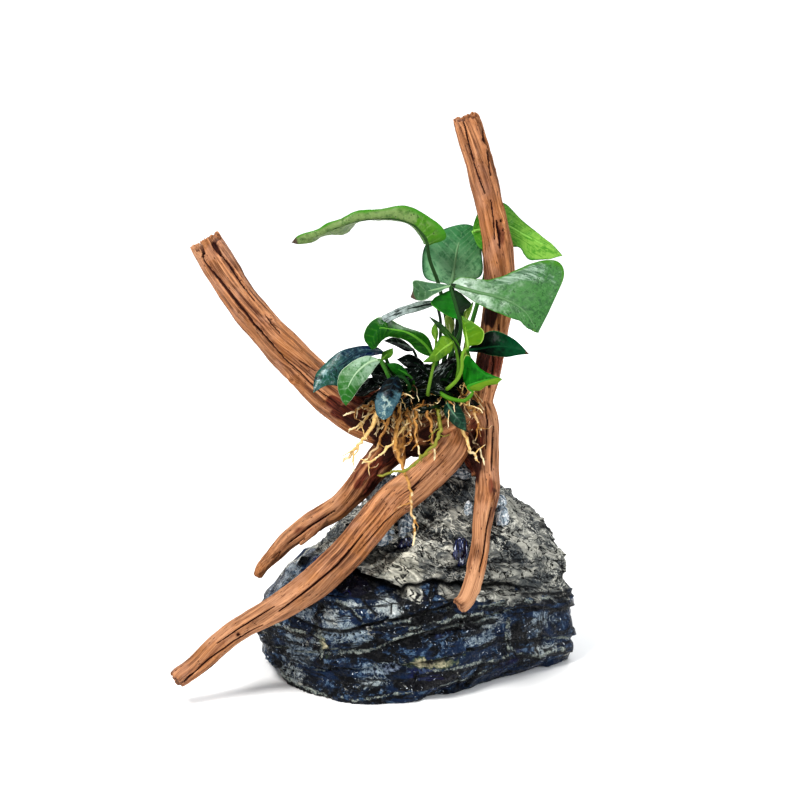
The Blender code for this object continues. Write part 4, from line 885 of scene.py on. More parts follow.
# Each leaf: the points up its stalk, then rows of left margin, midrib and right margin, or a row's one point
leafRows = {
    "leaf_long_arched": ([(20, -8, 147.5), (21.5, -3, 157), (23.5, 0, 174.5), (19.5, 2, 195.5), (15, 3, 208),
         (13.5, 3, 215.5)], [
        (12, 9, 216.5, 13.5, 3, 217, 16.5, 4, 216.5), (10.5, 13, 217.5, 12, 3, 220.5, 22.5, 6, 220),
        (5, 17, 226, 6.5, 3, 226.5, 17, 5, 228.5), (-4, 18, 227, -3.5, 2.5, 229.5, 4, 4, 235),
        (-16, 16, 228, -18.5, 1, 229, -15, 2, 234), (-29, 10, 221.5, -30.5, -1, 225.5, -30, 0, 230),
        (-40.5, 3, 219.5, -41, -2, 221.5, -40, -2, 225), (-48.5, -2, 217.5, -49, -3, 219.5, -49.5, -3.5, 222),
        (-53, -4, 218.5)]),
    "leaf_round_back": ([(24, -7, 148.5), (25.5, 1, 157), (26, 8, 170), (26, 14, 187.5), (25.5, 17, 194.5)], [
        (22, 16, 195.5, 25.5, 17, 195, 29.5, 19, 195), (13, 15, 198, 26.5, 18, 199, 40.5, 22, 198),
        (11, 17.5, 206.5, 27.5, 20, 205.5, 41.5, 26.5, 206), (13, 20.5, 214.5, 29, 22.5, 213, 41, 29, 214.5),
        (20.5, 23.5, 221, 31, 25, 219.5, 39, 29.5, 221), (32, 26.5, 224)]),
    "leaf_bright_back": ([(30, -7, 150), (31.5, -1, 158), (34, 6, 170), (39.5, 20.5, 186), (43.5, 27, 201),
         (41.5, 25.5, 214)], [
        (40, 20, 212.5, 37.5, 22, 221, 39, 24, 229.5), (47.5, 19, 211.5, 44, 24, 222, 44.5, 26, 233.5),
        (56, 18, 213, 53, 25, 223.5, 52.5, 27, 234.5), (61, 17, 212.5, 62, 25, 219, 61.5, 27, 226),
        (65, 16, 207, 70, 23, 215, 71, 25, 218.5), (73, 17, 207.5, 77, 21, 211.5, 77.5, 22, 213.5), (81.5, 19, 209)]),
    "leaf_big_right": ([(27.5, -9.5, 151), (29, -8.5, 160), (28, -8, 172), (28.5, -7, 182), (26.5, -7, 190),
         (25.5, -9.5, 197)], [
        (25.5, -11, 198.5), (27.5, -9, 201, 31, -12, 197, 30, -13, 195),
        (34, -7, 202, 38, -15, 195.5, 36.5, -16, 191), (44, -9, 200.5, 46.5, -18, 194, 44.5, -20, 187.5),
        (56.5, -10, 206, 54.5, -22, 191.5, 52.5, -24, 185), (74.5, -11, 211, 60.5, -26, 187.5, 59.5, -27.5, 182.5),
        (79.5, -16, 204.5, 63.5, -28.5, 183, 63, -29, 180.5), (73, -24, 190.5, 65.5, -29.5, 180, 65.5, -30, 179),
        (66.5, -30, 178.5)]),
    "leaf_grey_left": ([(21, -12, 148), (22.5, -13, 156), (25.5, -14.5, 167), (29.5, -17, 178), (27.5, -19, 188),
         (25, -18.5, 196.5)], [
        (24.5, -16, 199), (20, -16, 200, 20.5, -17, 198, 21, -18, 197.5),
        (13.5, -17, 201, 14, -19, 197, 16, -21, 195), (6.5, -19, 202, 8, -21, 197, 11.5, -23, 193),
        (6.5, -21, 198.5, 6.5, -22, 196, 8, -23, 193), (5, -23, 194.5)]),
    "leaf_green_underside": ([(24.5, -10.5, 150), (26, -11, 158), (28.5, -12.5, 168), (29.5, -13, 175),
         (30, -12.5, 181.5)], [
        (30, -12, 182), (25.5, -14, 183, 28, -12.5, 185.5, 32, -9, 186),
        (19.5, -16.5, 186.5, 26.5, -14, 190.5, 35, -10, 189), (15, -18, 190.5, 25, -15, 194.5, 31, -10.5, 193),
        (16.5, -16.5, 193, 24, -14.5, 196.5, 27.5, -11, 195.5)]),
    "leaf_grey_strap": ([(16, -8, 146.5), (18, -5, 156), (19.5, -4.5, 166), (20, -4.5, 179), (18.5, -6.5, 187)], [
        (19, -8, 189.5), (12.5, -8, 190.5, 12, -10, 188.5, 11.5, -11, 186.5),
        (2.5, -11, 188.5, 2, -12.5, 186.5, 2.5, -14, 184.5), (-4.5, -14, 186, -4, -15.5, 184.5, -3, -16.5, 182.5),
        (-9, -16, 184, -8.5, -17.5, 182.5, -7.5, -18.5, 180)]),
    "leaf_arched_green": ([(17, -12, 147), (19, -13.5, 155), (17.5, -13.5, 161), (16, -13.5, 164.5)], [
        (16.5, -13, 166, 15.5, -13.5, 165, 13.5, -13, 164), (14.5, -12, 171, 12.5, -15, 169.5, 8, -14, 167),
        (10.5, -12, 175, 7.5, -17, 174, 4.5, -15, 170.5), (5, -12, 177.5, 2, -19, 177, -0.5, -17, 174),
        (-1.5, -12, 179.5, -4.5, -21, 178.5, -5, -19, 174.5), (-9.5, -14, 183, -10, -24, 179.5, -8, -22, 173.5),
        (-15.5, -17, 180.5, -12.5, -26, 176, -10.5, -24.5, 172),
        (-17.5, -21, 174.5, -14, -26, 172.5, -11.5, -26, 170.5), (-13.5, -27, 169.5)]),
    "leaf_navy_long": ([(0, -9, 143.5), (-3, -9.5, 153), (-7, -12, 162.5), (-8, -13.5, 165.5)], [
        (-8, -14, 165.5), (-11.5, -15, 168.5, -12.5, -17, 167, -12.5, -18, 165),
        (-20.5, -17, 169.5, -21, -19, 166, -20.5, -20, 163),
        (-30, -19, 166.5, -28.5, -22, 161.5, -24.5, -21, 155.5), (-38, -21, 160, -35, -24, 157, -28.5, -22, 151),
        (-41.5, -24, 154, -39.5, -26, 152.5, -35.5, -25, 151.5), (-42, -28, 148.5)]),
    "leaf_grey_oval": ([(-2, -11, 142.5), (-5, -18, 153), (-9.5, -21, 163)], [
        (-10, -21.5, 163.5), (-16, -23, 165.5, -14.5, -24.5, 163, -11.5, -23.5, 160.5),
        (-23, -25, 163.5, -20, -27.5, 159.5, -15, -26, 156.5),
        (-28.5, -27, 158.5, -23.5, -30, 155, -18.5, -28.5, 152.5),
        (-30, -29, 151, -26, -32, 149.5, -21.5, -30.5, 148.5),
        (-28.5, -31.5, 146, -26.5, -33, 146.5, -23.5, -32, 146), (-26, -34, 143.5)]),
    "leaf_navy_oval": ([(4, -12, 144), (4.5, -19.5, 150), (2, -22, 154.5), (-0.5, -22, 155.5)], [
        (-1.5, -22.5, 155.5), (-6, -24, 154.5, -3, -25.5, 153.5, 0, -24, 153.5),
        (-10, -27, 150, -5, -29, 149.5, 1, -27, 149.5), (-12, -29.5, 145.5, -6.5, -31.5, 145, 0, -29.5, 145.5),
        (-11.8, -32, 141, -7.5, -33.4, 140.8, -2.8, -32, 141),
        (-11, -33, 138.5, -7.8, -34, 138.2, -4.4, -33, 138.3), (-8, -34.5, 136.6)]),
    "leaf_small_inner": ([(7, -12, 146.5), (6.5, -15.5, 151.5), (5, -16.5, 154.5)], [
        (4, -16.5, 155), (1.5, -16, 159, 1, -17, 157, -0.5, -16.5, 154.5),
        (-2.5, -16.5, 161, -3, -17.5, 159, -3.5, -17, 156.5), (-6.5, -18.5, 161)]),
    "leaf_small_lime": ([(-1, -10, 143.5), (-4.5, -13.5, 153), (-8, -16, 161)], [
        (-9, -16, 162.5), (-8.5, -16, 166, -7, -17.5, 165, -5.5, -17, 163.5),
        (-6, -16.5, 167.5, -5, -17.5, 166.5, -3.5, -17, 165.5), (-3.5, -17, 168.5)]),
    "leaf_dark_narrow": ([(31, -12, 150.5), (33, -17, 158), (31.5, -18.5, 164)], [
        (29.5, -18, 167), (24.5, -19.5, 172.5, 26.5, -19, 172, 28, -17.5, 172),
        (20.5, -21, 176.5, 22.5, -20.5, 177, 24, -19, 177),
        (17.5, -22, 180.5, 18.5, -22, 181.5, 19.5, -20.5, 181.5), (14, -23, 185)]),
    "leaf_yellow_curl": ([(27.5, -12, 149.5), (28, -19, 154.5), (28.5, -20.5, 161), (27, -21.5, 169.5)], [
        (25.5, -22, 172.5), (25, -23.5, 169, 23.5, -25, 171.5, 21, -24, 176),
        (22, -24.5, 166, 20, -26.5, 169.5, 18.5, -25.5, 174), (17.5, -26, 163.5, 16, -27.5, 166, 15, -27, 167.5),
        (11, -27.5, 163.5)]),
    "leaf_small_lobe": ([(14.5, -12, 145), (13.5, -21.5, 146.5), (14.5, -24.5, 153), (16.5, -24.5, 163),
         (17.5, -21.5, 171.5)], [
        (17.5, -21, 173), (15.5, -21, 176, 17, -22.5, 176.5, 18.5, -21.5, 176.5),
        (15.5, -21, 179, 16.5, -22.5, 179.5, 18, -21.5, 179.5), (17, -21.5, 181.5)]),
    "leaf_pale_round": ([(22, -12, 147), (23.5, -19.5, 149), (28, -23.5, 154.5), (30, -24.5, 160),
         (30, -25, 165.5), (31.5, -24, 170)], [
        (32, -23, 170.5, 33, -23.5, 170.5, 34.5, -24, 171), (31.5, -23, 174, 32.5, -24, 174, 39, -26, 172.5),
        (31, -22.5, 177.5, 32, -24, 177.5, 40.5, -26.5, 176.5), (30.5, -22, 181, 31.5, -23, 180.5, 39, -25.5, 180),
        (30, -20.5, 185)]),
    "leaf_dark_right": ([(33, -11, 151.5), (34.5, -10.5, 159), (33.5, -12.5, 165.5)], [
        (33, -13, 166.5), (37, -13.5, 170.5, 38.5, -16, 168, 39, -15.5, 166),
        (42.5, -14.5, 176, 44.5, -19, 169.5, 45, -18, 165.5), (49, -16.5, 176, 50.5, -21, 170, 51, -20, 164.5),
        (56, -19.5, 173, 56.5, -22.5, 169, 56.5, -22, 166), (62.5, -25, 167)]),
    "leaf_lower_right": ([(18.5, -12, 146), (19.5, -19, 146.5), (24.5, -22.5, 144.5), (30.5, -23, 143.5),
         (33.5, -23, 145), (35.5, -22.5, 147.5)], [
        (35.5, -22, 148), (31, -20, 153, 33, -23, 150.5, 36.5, -23, 148.5),
        (30.5, -19, 160, 37, -24, 152.5, 39.5, -24, 149.5), (32.5, -19, 165.5, 41, -25, 154, 42.5, -25, 151.5),
        (38, -21, 160, 44.5, -26, 155, 46.5, -26, 152.5), (44.5, -24, 156.5, 47, -26.5, 155.5, 48, -26.5, 153.5),
        (49.5, -27, 155)]),
    "leaf_hanging_dark": ([(22, -12, 145), (22.5, -16, 142.5), (22.5, -18, 142.5)], [
        (23, -18.5, 142), (21.5, -22, 139.5, 24, -23.5, 140.5, 28, -22, 142),
        (22.5, -25, 136, 26.5, -27, 137.5, 30.5, -25, 138.5), (27, -28, 132, 29.5, -29.5, 134, 32, -28, 134.5),
        (32, -31, 130)]),
    "shoot_pale_right": ([(31, -9.5, 151.5), (32.5, -5.5, 162), (32.5, -5, 174.5), (32.5, -5, 179)], [
        (32.5, -5, 179.5), (31, -5, 183, 32.5, -6.5, 183.5, 34.5, -6, 183.5),
        (33, -5, 186, 34, -6.5, 186.5, 35.5, -6, 186.5), (36, -6, 189.5)]),
    "shoot_pale_left": ([(24, -9.5, 150), (24.5, -5, 160), (25.5, -4, 168), (25, -4, 173)], [
        (25, -4, 173.5), (23, -4, 176.5, 24.5, -5.5, 177, 27, -5, 177.5),
        (22, -4, 180.5, 23.5, -5.5, 181, 25.5, -5, 181.5), (23, -5, 183.5)]),
    "leaf_dark_centre": ([(24.5, -12.5, 149), (26, -17.5, 154), (28, -17.5, 159)], [
        (29, -16.5, 161.5), (25.5, -16, 164, 25, -18, 160, 27.5, -17.5, 155.5),
        (18, -17.5, 159.5, 19.5, -19.5, 155.5, 23.5, -17, 150.5),
        (14, -18.5, 154, 16, -19.5, 151.5, 18.5, -18.5, 149.5), (15, -20, 148.5)]),
    "leaf_dark_crown": ([(14, -10, 146.5), (15.5, -11, 152), (14, -12, 155)], [
        (13.5, -12, 155.5), (10, -12, 162, 9.5, -14, 159.5, 10.5, -13, 156),
        (4, -13, 164.5, 4.5, -15, 161.5, 4.5, -14, 157.5), (-1.5, -15, 162.5)]),
    "leaf_dark_strip": ([(11, -8.5, 145.5), (9, -7, 157.5), (7.5, -8, 164.5)], [
        (6.5, -8, 166), (2, -8, 170.5, 2.5, -9.5, 168.5, 3, -9, 165.5),
        (-3, -9, 172.5, -3, -10.5, 170.5, -2.5, -10, 168.5), (-8, -11, 171)]),
}
# Leaves: a grid bent to each leaf's rows, given thickness, with its stalk and midrib
leafBuild = {
    "step": 0.55,
    "stalkStep": 1.2,
    "thickness": 0.5,
    "marginShare": 0.45,
    "veinGap": 3.4,
    "veinLift": 0.16,
    "wrinkle": 0.22,
    "stalkWidth": (0.75, 0.018),
    "camber": 1.5,
    "dense": 24,  # points between two rows, before they are spread evenly
}
lookColours = ("seenBase", "seenTip", "hiddenBase", "hiddenTip", "margin", "vein", "patch", "rib", "stalk")
lookNumbers = ("marginWidth", "gloss", "wave", "waves")
usualLook = {"drift": (0.15, 0.85), "mottle": 0.45, "veinShare": 0.3, "shine": 0.2, "roundTip": 0, "marginSide": 0}
# Looks: the colours, then the numbers above, then what differs from the usual look
leafLooks = {
    "leaf_long_arched": ("3e700e 667c48 387018 3e741a 387610 7e985e 2c4e1c 1e3e10 163610", 0.4, 0.42, 1.1, 4.5, {
        "drift": (0.12, 0.3), "marginSide": 1, "brownTip": 0.03, "spots": 0.9, "mottle": 0.7}),
    "leaf_round_back": ("709c74 3e7a4c 608c56 608c56 184628 84a682 205634 6e926a 1e4a1e", 0.14, 0.42, 0.5, 3, {
        "roundTip": 1, "mottle": 0.7, "veinShare": 0.4}),
    "leaf_bright_back": ("4e8a28 74a042 84a838 8cb03e 286810 8cbe54 24700e 82b854 285c18", 0.1, 0.42, 0.8, 3, {
        "mottle": 0.6, "streaks": 0.6}),
    # leaf_big_right: its pale grey base colour is a painted sheen
    "leaf_big_right": ("acbeae 3c6c36 46702e 46702e 3a7018 7a9674 244a28 50744a 0e240e", 0.1, 0.4, 0.7, 4, {
        "fold": -1, "mottle": 0.75, "spots": 0.8, "streaks": 0.25, "drift": (0, 0.5), "veinShare": 0.1,
        "scribble": 0.75}),
    "leaf_grey_left": ("44664a 385a36 1e5412 1e5412 96aa92 829c7e 1e4224 789870 1e4418", 0.1, 0.38, 0.4, 2, {
        "brownTip": 0.1, "mottle": 0.8}),
    "leaf_green_underside": ("0c7008 10600a 062208 062208 5aa43c 288018 042c06 082c08 0e2e0c", 0.06, 0.4, 0.3, 2, {
        "split": "062c09", "splitSide": 1}),
    # leaf_grey_strap: its grey is a painted reflection of the sky on the upper side
    "leaf_grey_strap": ("74827a 98a4a2 164614 164614 143818 3c4c46 0e1a16 101c16 143212", 0.12, 0.24, 0.5, 3, {
        "mottle": 0.5, "streaks": 1}),
    "leaf_arched_green": ("1a540a 084804 387014 125806 78b046 4a8622 062e06 548c2a 2a5c12", 0.07, 0.38, 0.5, 2.5, {
        "shine": 0.12, "mottle": 0.85, "spots": 0.5, "drift": (0.35, 0.7)}),
    "leaf_navy_long": ("08183a 245242 1e462e 1e462e 183e3a 60868c 020812 18323e 224c1a", 0.08, 0.2, 0.4, 3, {
        "speckle": 0.9, "blotch": "809a9a", "mottle": 0.9, "streaks": 0.6, "paleSheenStreaks": 0.5}),
    "leaf_grey_oval": ("86a088 245c1a 2e6824 2e6824 c4d4be 96ac92 12560c 96b08e 386c1e", 0.05, 0.34, 0.5, 2, {
        "mottle": 0.8, "spots": 0.7, "drift": (0.25, 0.75)}),
    "leaf_navy_oval": ("010304 3c5a62 0a2822 0a2822 081a22 426874 081e34 0a161e 163c16", 0.08, 0.3, 0.3, 2, {
        "speckle": 0.5, "blotch": "96a69e", "drift": (0.42, 0.6), "mottle": 0.6, "roundTip": 1, "shine": 0.1}),
    "leaf_small_inner": ("084804 145c08 3c741c 3c741c 3c7c24 2e701e 062e08 327422 265416", 0.08, 0.34, 0.2, 2, {
        "shine": 0.12, "mottle": 0.7}),
    "leaf_small_lime": ("366408 42700e 407010 407010 74a032 68962c 2e620c 709e36 3e6e1a", 0.12, 0.4, 0.2, 2, {
        "mottle": 0.6}),
    "leaf_dark_narrow": ("3e7014 0e2c0a 386c16 10320e 608c3c 406e1c 0a2408 0e2a0a 2c5812", 0.1, 0.34, 0.2, 2, {}),
    "leaf_yellow_curl": ("587c14 486e0e 28620e 28620e 24540e 789a32 366610 769c38 4c741a", 0.14, 0.42, 0.3, 2, {
        "spots": 0.5, "mottle": 0.7}),
    "leaf_small_lobe": ("5c821c 4a7018 3e6816 3e6816 543e18 6e9230 3c6414 749638 567622", 0.2, 0.42, 0.2, 2, {}),
    "leaf_pale_round": ("52780a 406808 32640e 32640e a0be58 7ca23a 3c700e 84a846 668a2a", 0.08, 0.45, 0.3, 2, {
        "shine": 0.12, "mottle": 0.7}),
    "leaf_dark_right": ("010604 053e22 3c7424 3c7424 3c764e 0e462c 02140c 0e3e24 3e6c1e", 0.05, 0.36, 0.4, 2.5, {
        "brownTip": 0.05, "drift": (0.3, 0.75), "shine": 0.04, "veinShare": 0.15, "mottle": 0.6}),
    "leaf_lower_right": ("0a5c08 0e6808 6e8e2c 648624 aac464 2c821e 033406 32801e 46761a", 0.05, 0.4, 0.3, 2, {
        "split": "5c7c1a", "splitSide": 1, "mottle": 0.7, "shine": 0.12}),
    "leaf_hanging_dark": ("06221a 0e3624 18401e 18401e 1e462e 548068 02100e 466c54 284c18", 0.1, 0.32, 0.3, 2, {
        "mottle": 0.8}),
    "shoot_pale_right": ("84a038 688e24 6e902c 6e902c a8bc60 a0b654 467618 a8bc60 8ca042", 0.25, 0.45, 0.1, 2, {
        "streaks": 0.5}),
    "shoot_pale_left": ("96a854 809c3e 6e902c 6e902c beca8c b0be6e 4c7622 c4ce96 96a65a", 0.3, 0.45, 0.1, 2, {
        "streaks": 0.7}),
    # leaf_dark_centre and leaf_dark_crown: near-black, leaves and painted shade deep in the plant, with painted
    # glints
    "leaf_dark_centre": ("020403 051008 061a08 061a08 0c2410 546454 000201 0a1e10 0c240a", 0.08, 0.22, 0.5, 3, {
        "glints": 0.45, "veinShare": 0.1, "shine": 0.06}),
    "leaf_dark_crown": ("010302 040c08 061a08 061a08 0a1e10 14241c 000101 0a1c10 0c240a", 0.1, 0.16, 0.4, 2, {
        "glints": 0.35, "streaks": 0.4, "shine": 0.05, "veinShare": 0.1}),
    "leaf_dark_strip": ("0a120e 18241e 081e0a 081e0a 08180c 78867e 020604 6e7a72 0e280c", 0.14, 0.16, 0.2, 2, {
        "mottle": 0.8, "paleSheenStreaks": 0.8}),
}


def lookOf(name):
    colours, *numbers, others = leafLooks[name]
    return {**usualLook, **dict(zip(lookColours, colours.split())), **dict(zip(lookNumbers, numbers)), **others}


def leafSurface(rows, counts, roundTip):  # margins and midrib run smoothly; the base is rounded
    if lengths(rows[0][0] - rows[0][2]) > 1.0:
        rows = [numpy.resize(rows[0][1] - 0.12 * (rows[1][1] - rows[0][1]), (3, 3)), *rows]
    before = numpy.array([rows[1][2], 2 * rows[0][1] - rows[1][1], rows[1][0]])
    beyond = 2 * rows[-1] - rows[-2]
    if roundTip:
        beyond[0], beyond[2] = rows[-2][2], rows[-2][0]
    lines = thread([before, *rows, beyond], [leafBuild["dense"]] * (len(rows) - 1))
    steps = lengths(numpy.diff(lines, axis=0, prepend=lines[:1]))
    reach = steps[:, 1] + 0.5 * steps[:, 0]
    order = numpy.arange(len(lines))
    place = numpy.interp(numpy.linspace(0, 1, counts[0] + 1), numpy.cumsum(reach) / sum(reach), order)
    spread = [numpy.interp(place, order, column) for column in lines.reshape(-1, 9).T]
    left, middle, right = numpy.column_stack(spread).reshape(-1, 3, 3).transpose(1, 0, 2)
    across = numpy.linspace(-1, 1, counts[1] + 1)[None, :, None]
    sag = ((right + left) / 2 - middle)[:, None, :]
    surface = middle[:, None, :] + across * ((right - left) / 2)[:, None, :]
    surface = surface + abs(across) ** leafBuild["camber"] * sag
    return surface, middle


def surfaceNormals(surface):
    normal = numpy.cross(numpy.gradient(surface, axis=0), numpy.gradient(surface, axis=1))
    length = lengths(normal)[:, :, None]
    half = normal.shape[1] // 2
    middle = normal[:, half : half + 1] / numpy.maximum(length[:, half : half + 1], 1e-9)
    return numpy.where(length > 1e-5, normal / numpy.maximum(length, 1e-9), middle)


def makeLeaf(name, stalk, rows, look):
    rows = [numpy.resize(numpy.array(row, float), (3, 3)) for row in rows]
    length = sum(lengths(numpy.diff([row[1] for row in rows], axis=0)))
    width = max(lengths(row[0] - row[1]) + lengths(row[2] - row[1]) for row in rows)
    counts = (max(24, int(length / leafBuild["step"])), max(14, 2 * int(width / leafBuild["step"] / 2)))
    surface, middle = leafSurface(rows, counts, look["roundTip"])
    normal = surfaceNormals(surface)
    share = numpy.linspace(0, 1, counts[0] + 1)[:, None]
    across = numpy.linspace(-1, 1, counts[1] + 1)[None, :]
    wide = lengths(surface[:, -1] - surface[:, 0])[:, None]
    phase = sum(map(ord, name)) % 7
    wave = look["wave"] * numpy.sin(2 * math.pi * look["waves"] * share + phase + 1.3 * numpy.sign(across))
    wave = wave * abs(across) ** 2.5 * soft(wide, 1.0, 9.0)
    vein = abs(across) * wide / 2
    veins = (share * length - vein * 0.75) / leafBuild["veinGap"]
    quilt = leafBuild["veinLift"] * (1 - (abs((veins % 1.0) - 0.5) * 2) ** 3)
    quilt = quilt * soft(vein, 0.4, 2.0) * soft(wide, 4.0, 12.0)
    flat = surface.reshape(-1, 3)
    wrinkle = leafBuild["wrinkle"] * (noiseAt(flat, 0.22, phase) + 0.5 * noiseAt(flat, 0.5, phase))
    rise = wave + wrinkle.reshape(wave.shape) * soft(wide, 2.0, 10.0)
    seenUp = 1.0 if ((cameraPlace - surface) * normal).sum() > 0 else -1.0
    surface = surface + normal * (rise + seenUp * quilt)[:, :, None]
    bpy.ops.mesh.primitive_grid_add(x_subdivisions=counts[0], y_subdivisions=counts[1], size=2)
    blade = bpy.context.object
    row, column = numpy.rint((readMesh(blade, "co")[:, :2] + 1) / 2 * counts).astype(int).T
    setPlaces(blade, surface[row, column])
    edge = across[0, column]
    sheet = numpy.column_stack([edge * wide[row, 0] / 2, share[row, 0] * length, numpy.full(len(row), 10.0 * phase)])
    paint(blade, across=edge, along=share[row, 0], veins=veins[row, column], sheet=sheet)
    group = blade.vertex_groups.new(name="thick")
    for index, weight in enumerate(1 - (1 - leafBuild["marginShare"]) * edge**4):
        group.add([index], float(weight), "REPLACE")
    faces = len(blade.data.polygons)
    thicken = blade.modifiers.new("thicken", "SOLIDIFY")
    thicken.thickness = leafBuild["thickness"] * millimetre
    thicken.offset = 0.0
    thicken.vertex_group = "thick"
    applyAll(blade)
    sides = numpy.zeros(len(blade.data.polygons))
    first = 0 if seenUp > 0 else faces
    sides[first : first + faces] = 1.0
    paint(blade, "FACE", seen=sides)
    thick = leafBuild["stalkWidth"][0] + leafBuild["stalkWidth"][1] * wide.max()
    stem = flow(stalk, leafBuild["stalkStep"])
    tail = numpy.linspace(0.8, 0.14, len(middle)) * thick
    rise = leafBuild["thickness"] * 0.5 - tail * 0.35
    ribLine = middle - seenUp * normal[:, counts[1] // 2] * rise[:, None]
    route = numpy.vstack([stem[:-1], ribLine[::2]])
    radii = numpy.concatenate([thick * numpy.linspace(1.2, 0.8, len(stem))[:-1], tail[::2]])
    rib = addTubes(name + "Rib", [(route, radii)], 3)
    centres = numpy.array([face.center for face in rib.data.polygons]) * perMetre
    nearest = lengths(centres[:, None] - route[None]).argmin(axis=1)
    paint(rib, "FACE", rib=numpy.where(nearest < len(stem), 1.0, 2.0))
    return joinAll(camel(name), blade, rib)


def camel(name):
    first, *others = name.split("_")
    return first + "".join(word.title() for word in others)


def leafSkin(name, look):
    board = Board(name)
    mix, fade, cloud, cells, value = board.mix, board.fade, board.cloud, board.cells, board.value
    seen, rib, across, along = value("seen"), value("rib"), value("across"), value("along")
    sheet = value("sheet", "Vector")
    edge = abs(across)
    mottle = cloud(0.2, 5, 0.6)
    fine = cloud(1.3, 3, 0.6)
    uneven = mottle - 0.5
    streak = cloud(1, 4, 0.65, 0, (1.3, 0.11, 1), sheet)
    drift = fade(along + uneven * 0.8, *look["drift"])
    patches = fade(cloud(0.3, 5, 0.65, 0.6), 0.47, 0.66)
    veinLine = abs(board.sum("FRACT", value("veins") + uneven * 0.5) - 0.5)
    veins = fade(veinLine, 0.2, 0) * fade(edge, 1, 0.6) * fade(fine, 0.3, 0.6)
    coats = [
        (seen, mix(drift, look["seenBase"], look["seenTip"])), (patches * look["mottle"], look["patch"]),
        (veins * look["veinShare"], look["vein"]),
    ]
    if "streaks" in look:
        coats.append((fade(streak, 0.52, 0.6) * look["streaks"], look["patch"]))
    # painted reflection: pale streaks along the leaf where its gloss catches the light
    if "paleSheenStreaks" in look:
        coats.append((fade(streak, 0.55, 0.62) * look["paleSheenStreaks"], look["vein"]))
    if "glints" in look:
        lines = fade(abs(cloud(1, 3, 0.5, 0.7, (0.7, 0.13, 1), sheet) - 0.5), 0.03, 0.004) * fade(mottle, 0.46, 0.58)
        coats.append((lines * look["glints"] * seen, "c4d0cc"))
    if "fold" in look:  # a band along one edge that is folded over and catches the light
        turned = fade(across * look["fold"] + uneven * 0.5, 0.58, 0.7) * fade(along, 0.3, 0.45)
        turned = turned * fade(along + uneven * 0.5, 0.72, 0.62)
        sheen = cloud(1, 4, 0.7, 0.4, (0.9, 0.1, 1), sheet)
        coats.append((turned * seen * 0.8, mix(fade(sheen, 0.42, 0.6), "30503a", "94aa98")))
    if "scribble" in look:
        curls = fade(abs(cloud(0.36, 3, 0.5, 1.6) - 0.5), 0.03, 0.008) * fade(along + uneven * 0.8, 0.5, 0.75)
        coats.append((curls * look["scribble"] * seen, "1a3e1e"))
    if "split" in look:
        coats.append((fade(across * look["splitSide"] + (fine - 0.5) * 0.2, -0.1, 0.12) * seen, look["split"]))
    if "spots" in look:
        spots = fade(cells(0.7, (1, 1, 0.7)), 0.3, 0.12) * fade(cloud(0.16), 0.5, 0.58)
        coats.append((spots * look["spots"], screen(look["patch"], 0.4)))
    band = (across * look["marginSide"] if look["marginSide"] else edge) + uneven * look["marginWidth"]
    coats.append((fade(band, 1 - look["marginWidth"], 1), look["margin"]))
    if "blotch" in look:
        pale = fade(cloud(0.24, 4, 0.65, 0.4), 0.52, 0.6) * drift * fade(edge, 0.9, 0.5)
        coats.append((pale * seen * 0.85, look["blotch"]))
    # painted glints: blue-white dots where the wet leaf reflects the lamps
    if "speckle" in look:
        dots = fade(cells(2.2), 0.34, 0.12) * fade(cloud(0.4, 4), 0.5, 0.6) * (drift * 0.8 + 0.2)
        coats.append((dots * look["speckle"] * seen, "8cb0c4"))
    if "brownTip" in look:
        coats.append((fade(along, 1 - look["brownTip"] * 1.6, 1 - look["brownTip"]), "483a2e"))
    coats += [(fade(rib, 0.4, 0.6), look["stalk"]), (fade(rib, 1.4, 1.6), look["rib"])]
    colour = board.cover(mix(drift, look["hiddenBase"], look["hiddenTip"]), *coats)
    board.bump(veins * -0.3 + fine * 0.5 + streak * 0.6, 0.4, 0.3)
    rough = fade(mottle, 0.3, 0.7) * 0.2 + look["gloss"]
    return board.finish(Base_Color=colour, Roughness=rough, Specular_IOR_Level=look["shine"], Coat_Weight=0.02)


for leafName, (stalkPoints, bladeRows) in leafRows.items():
    look = lookOf(leafName)
    leaf = makeLeaf(leafName, stalkPoints, bladeRows, look)
    dress(leaf, leafSkin(camel(leafName) + "Skin", look), "leaf", leafName)
print("leaves made")


# Small near-black leaves crowded over the stem, where the plant is thickest: leaves, and painted shade of the plant's
# dark centre
crowding = {
    "seed": 5,
    "count": 52,
    "low": (-9, -20, 137),
    "high": (31, -6, 159),
    "length": (9, 17),
    "width": (0.4, 0.62),  # share of the length
    "outline": [(0, 0.12), (0.2, 0.72), (0.5, 1), (0.8, 0.62), (1, 0)],  # share of the length, and of the width
    "fold": 0.35,
    "droop": 0.3,
    "looks": ["leaf_dark_crown", "leaf_dark_centre", "leaf_dark_crown"],
}


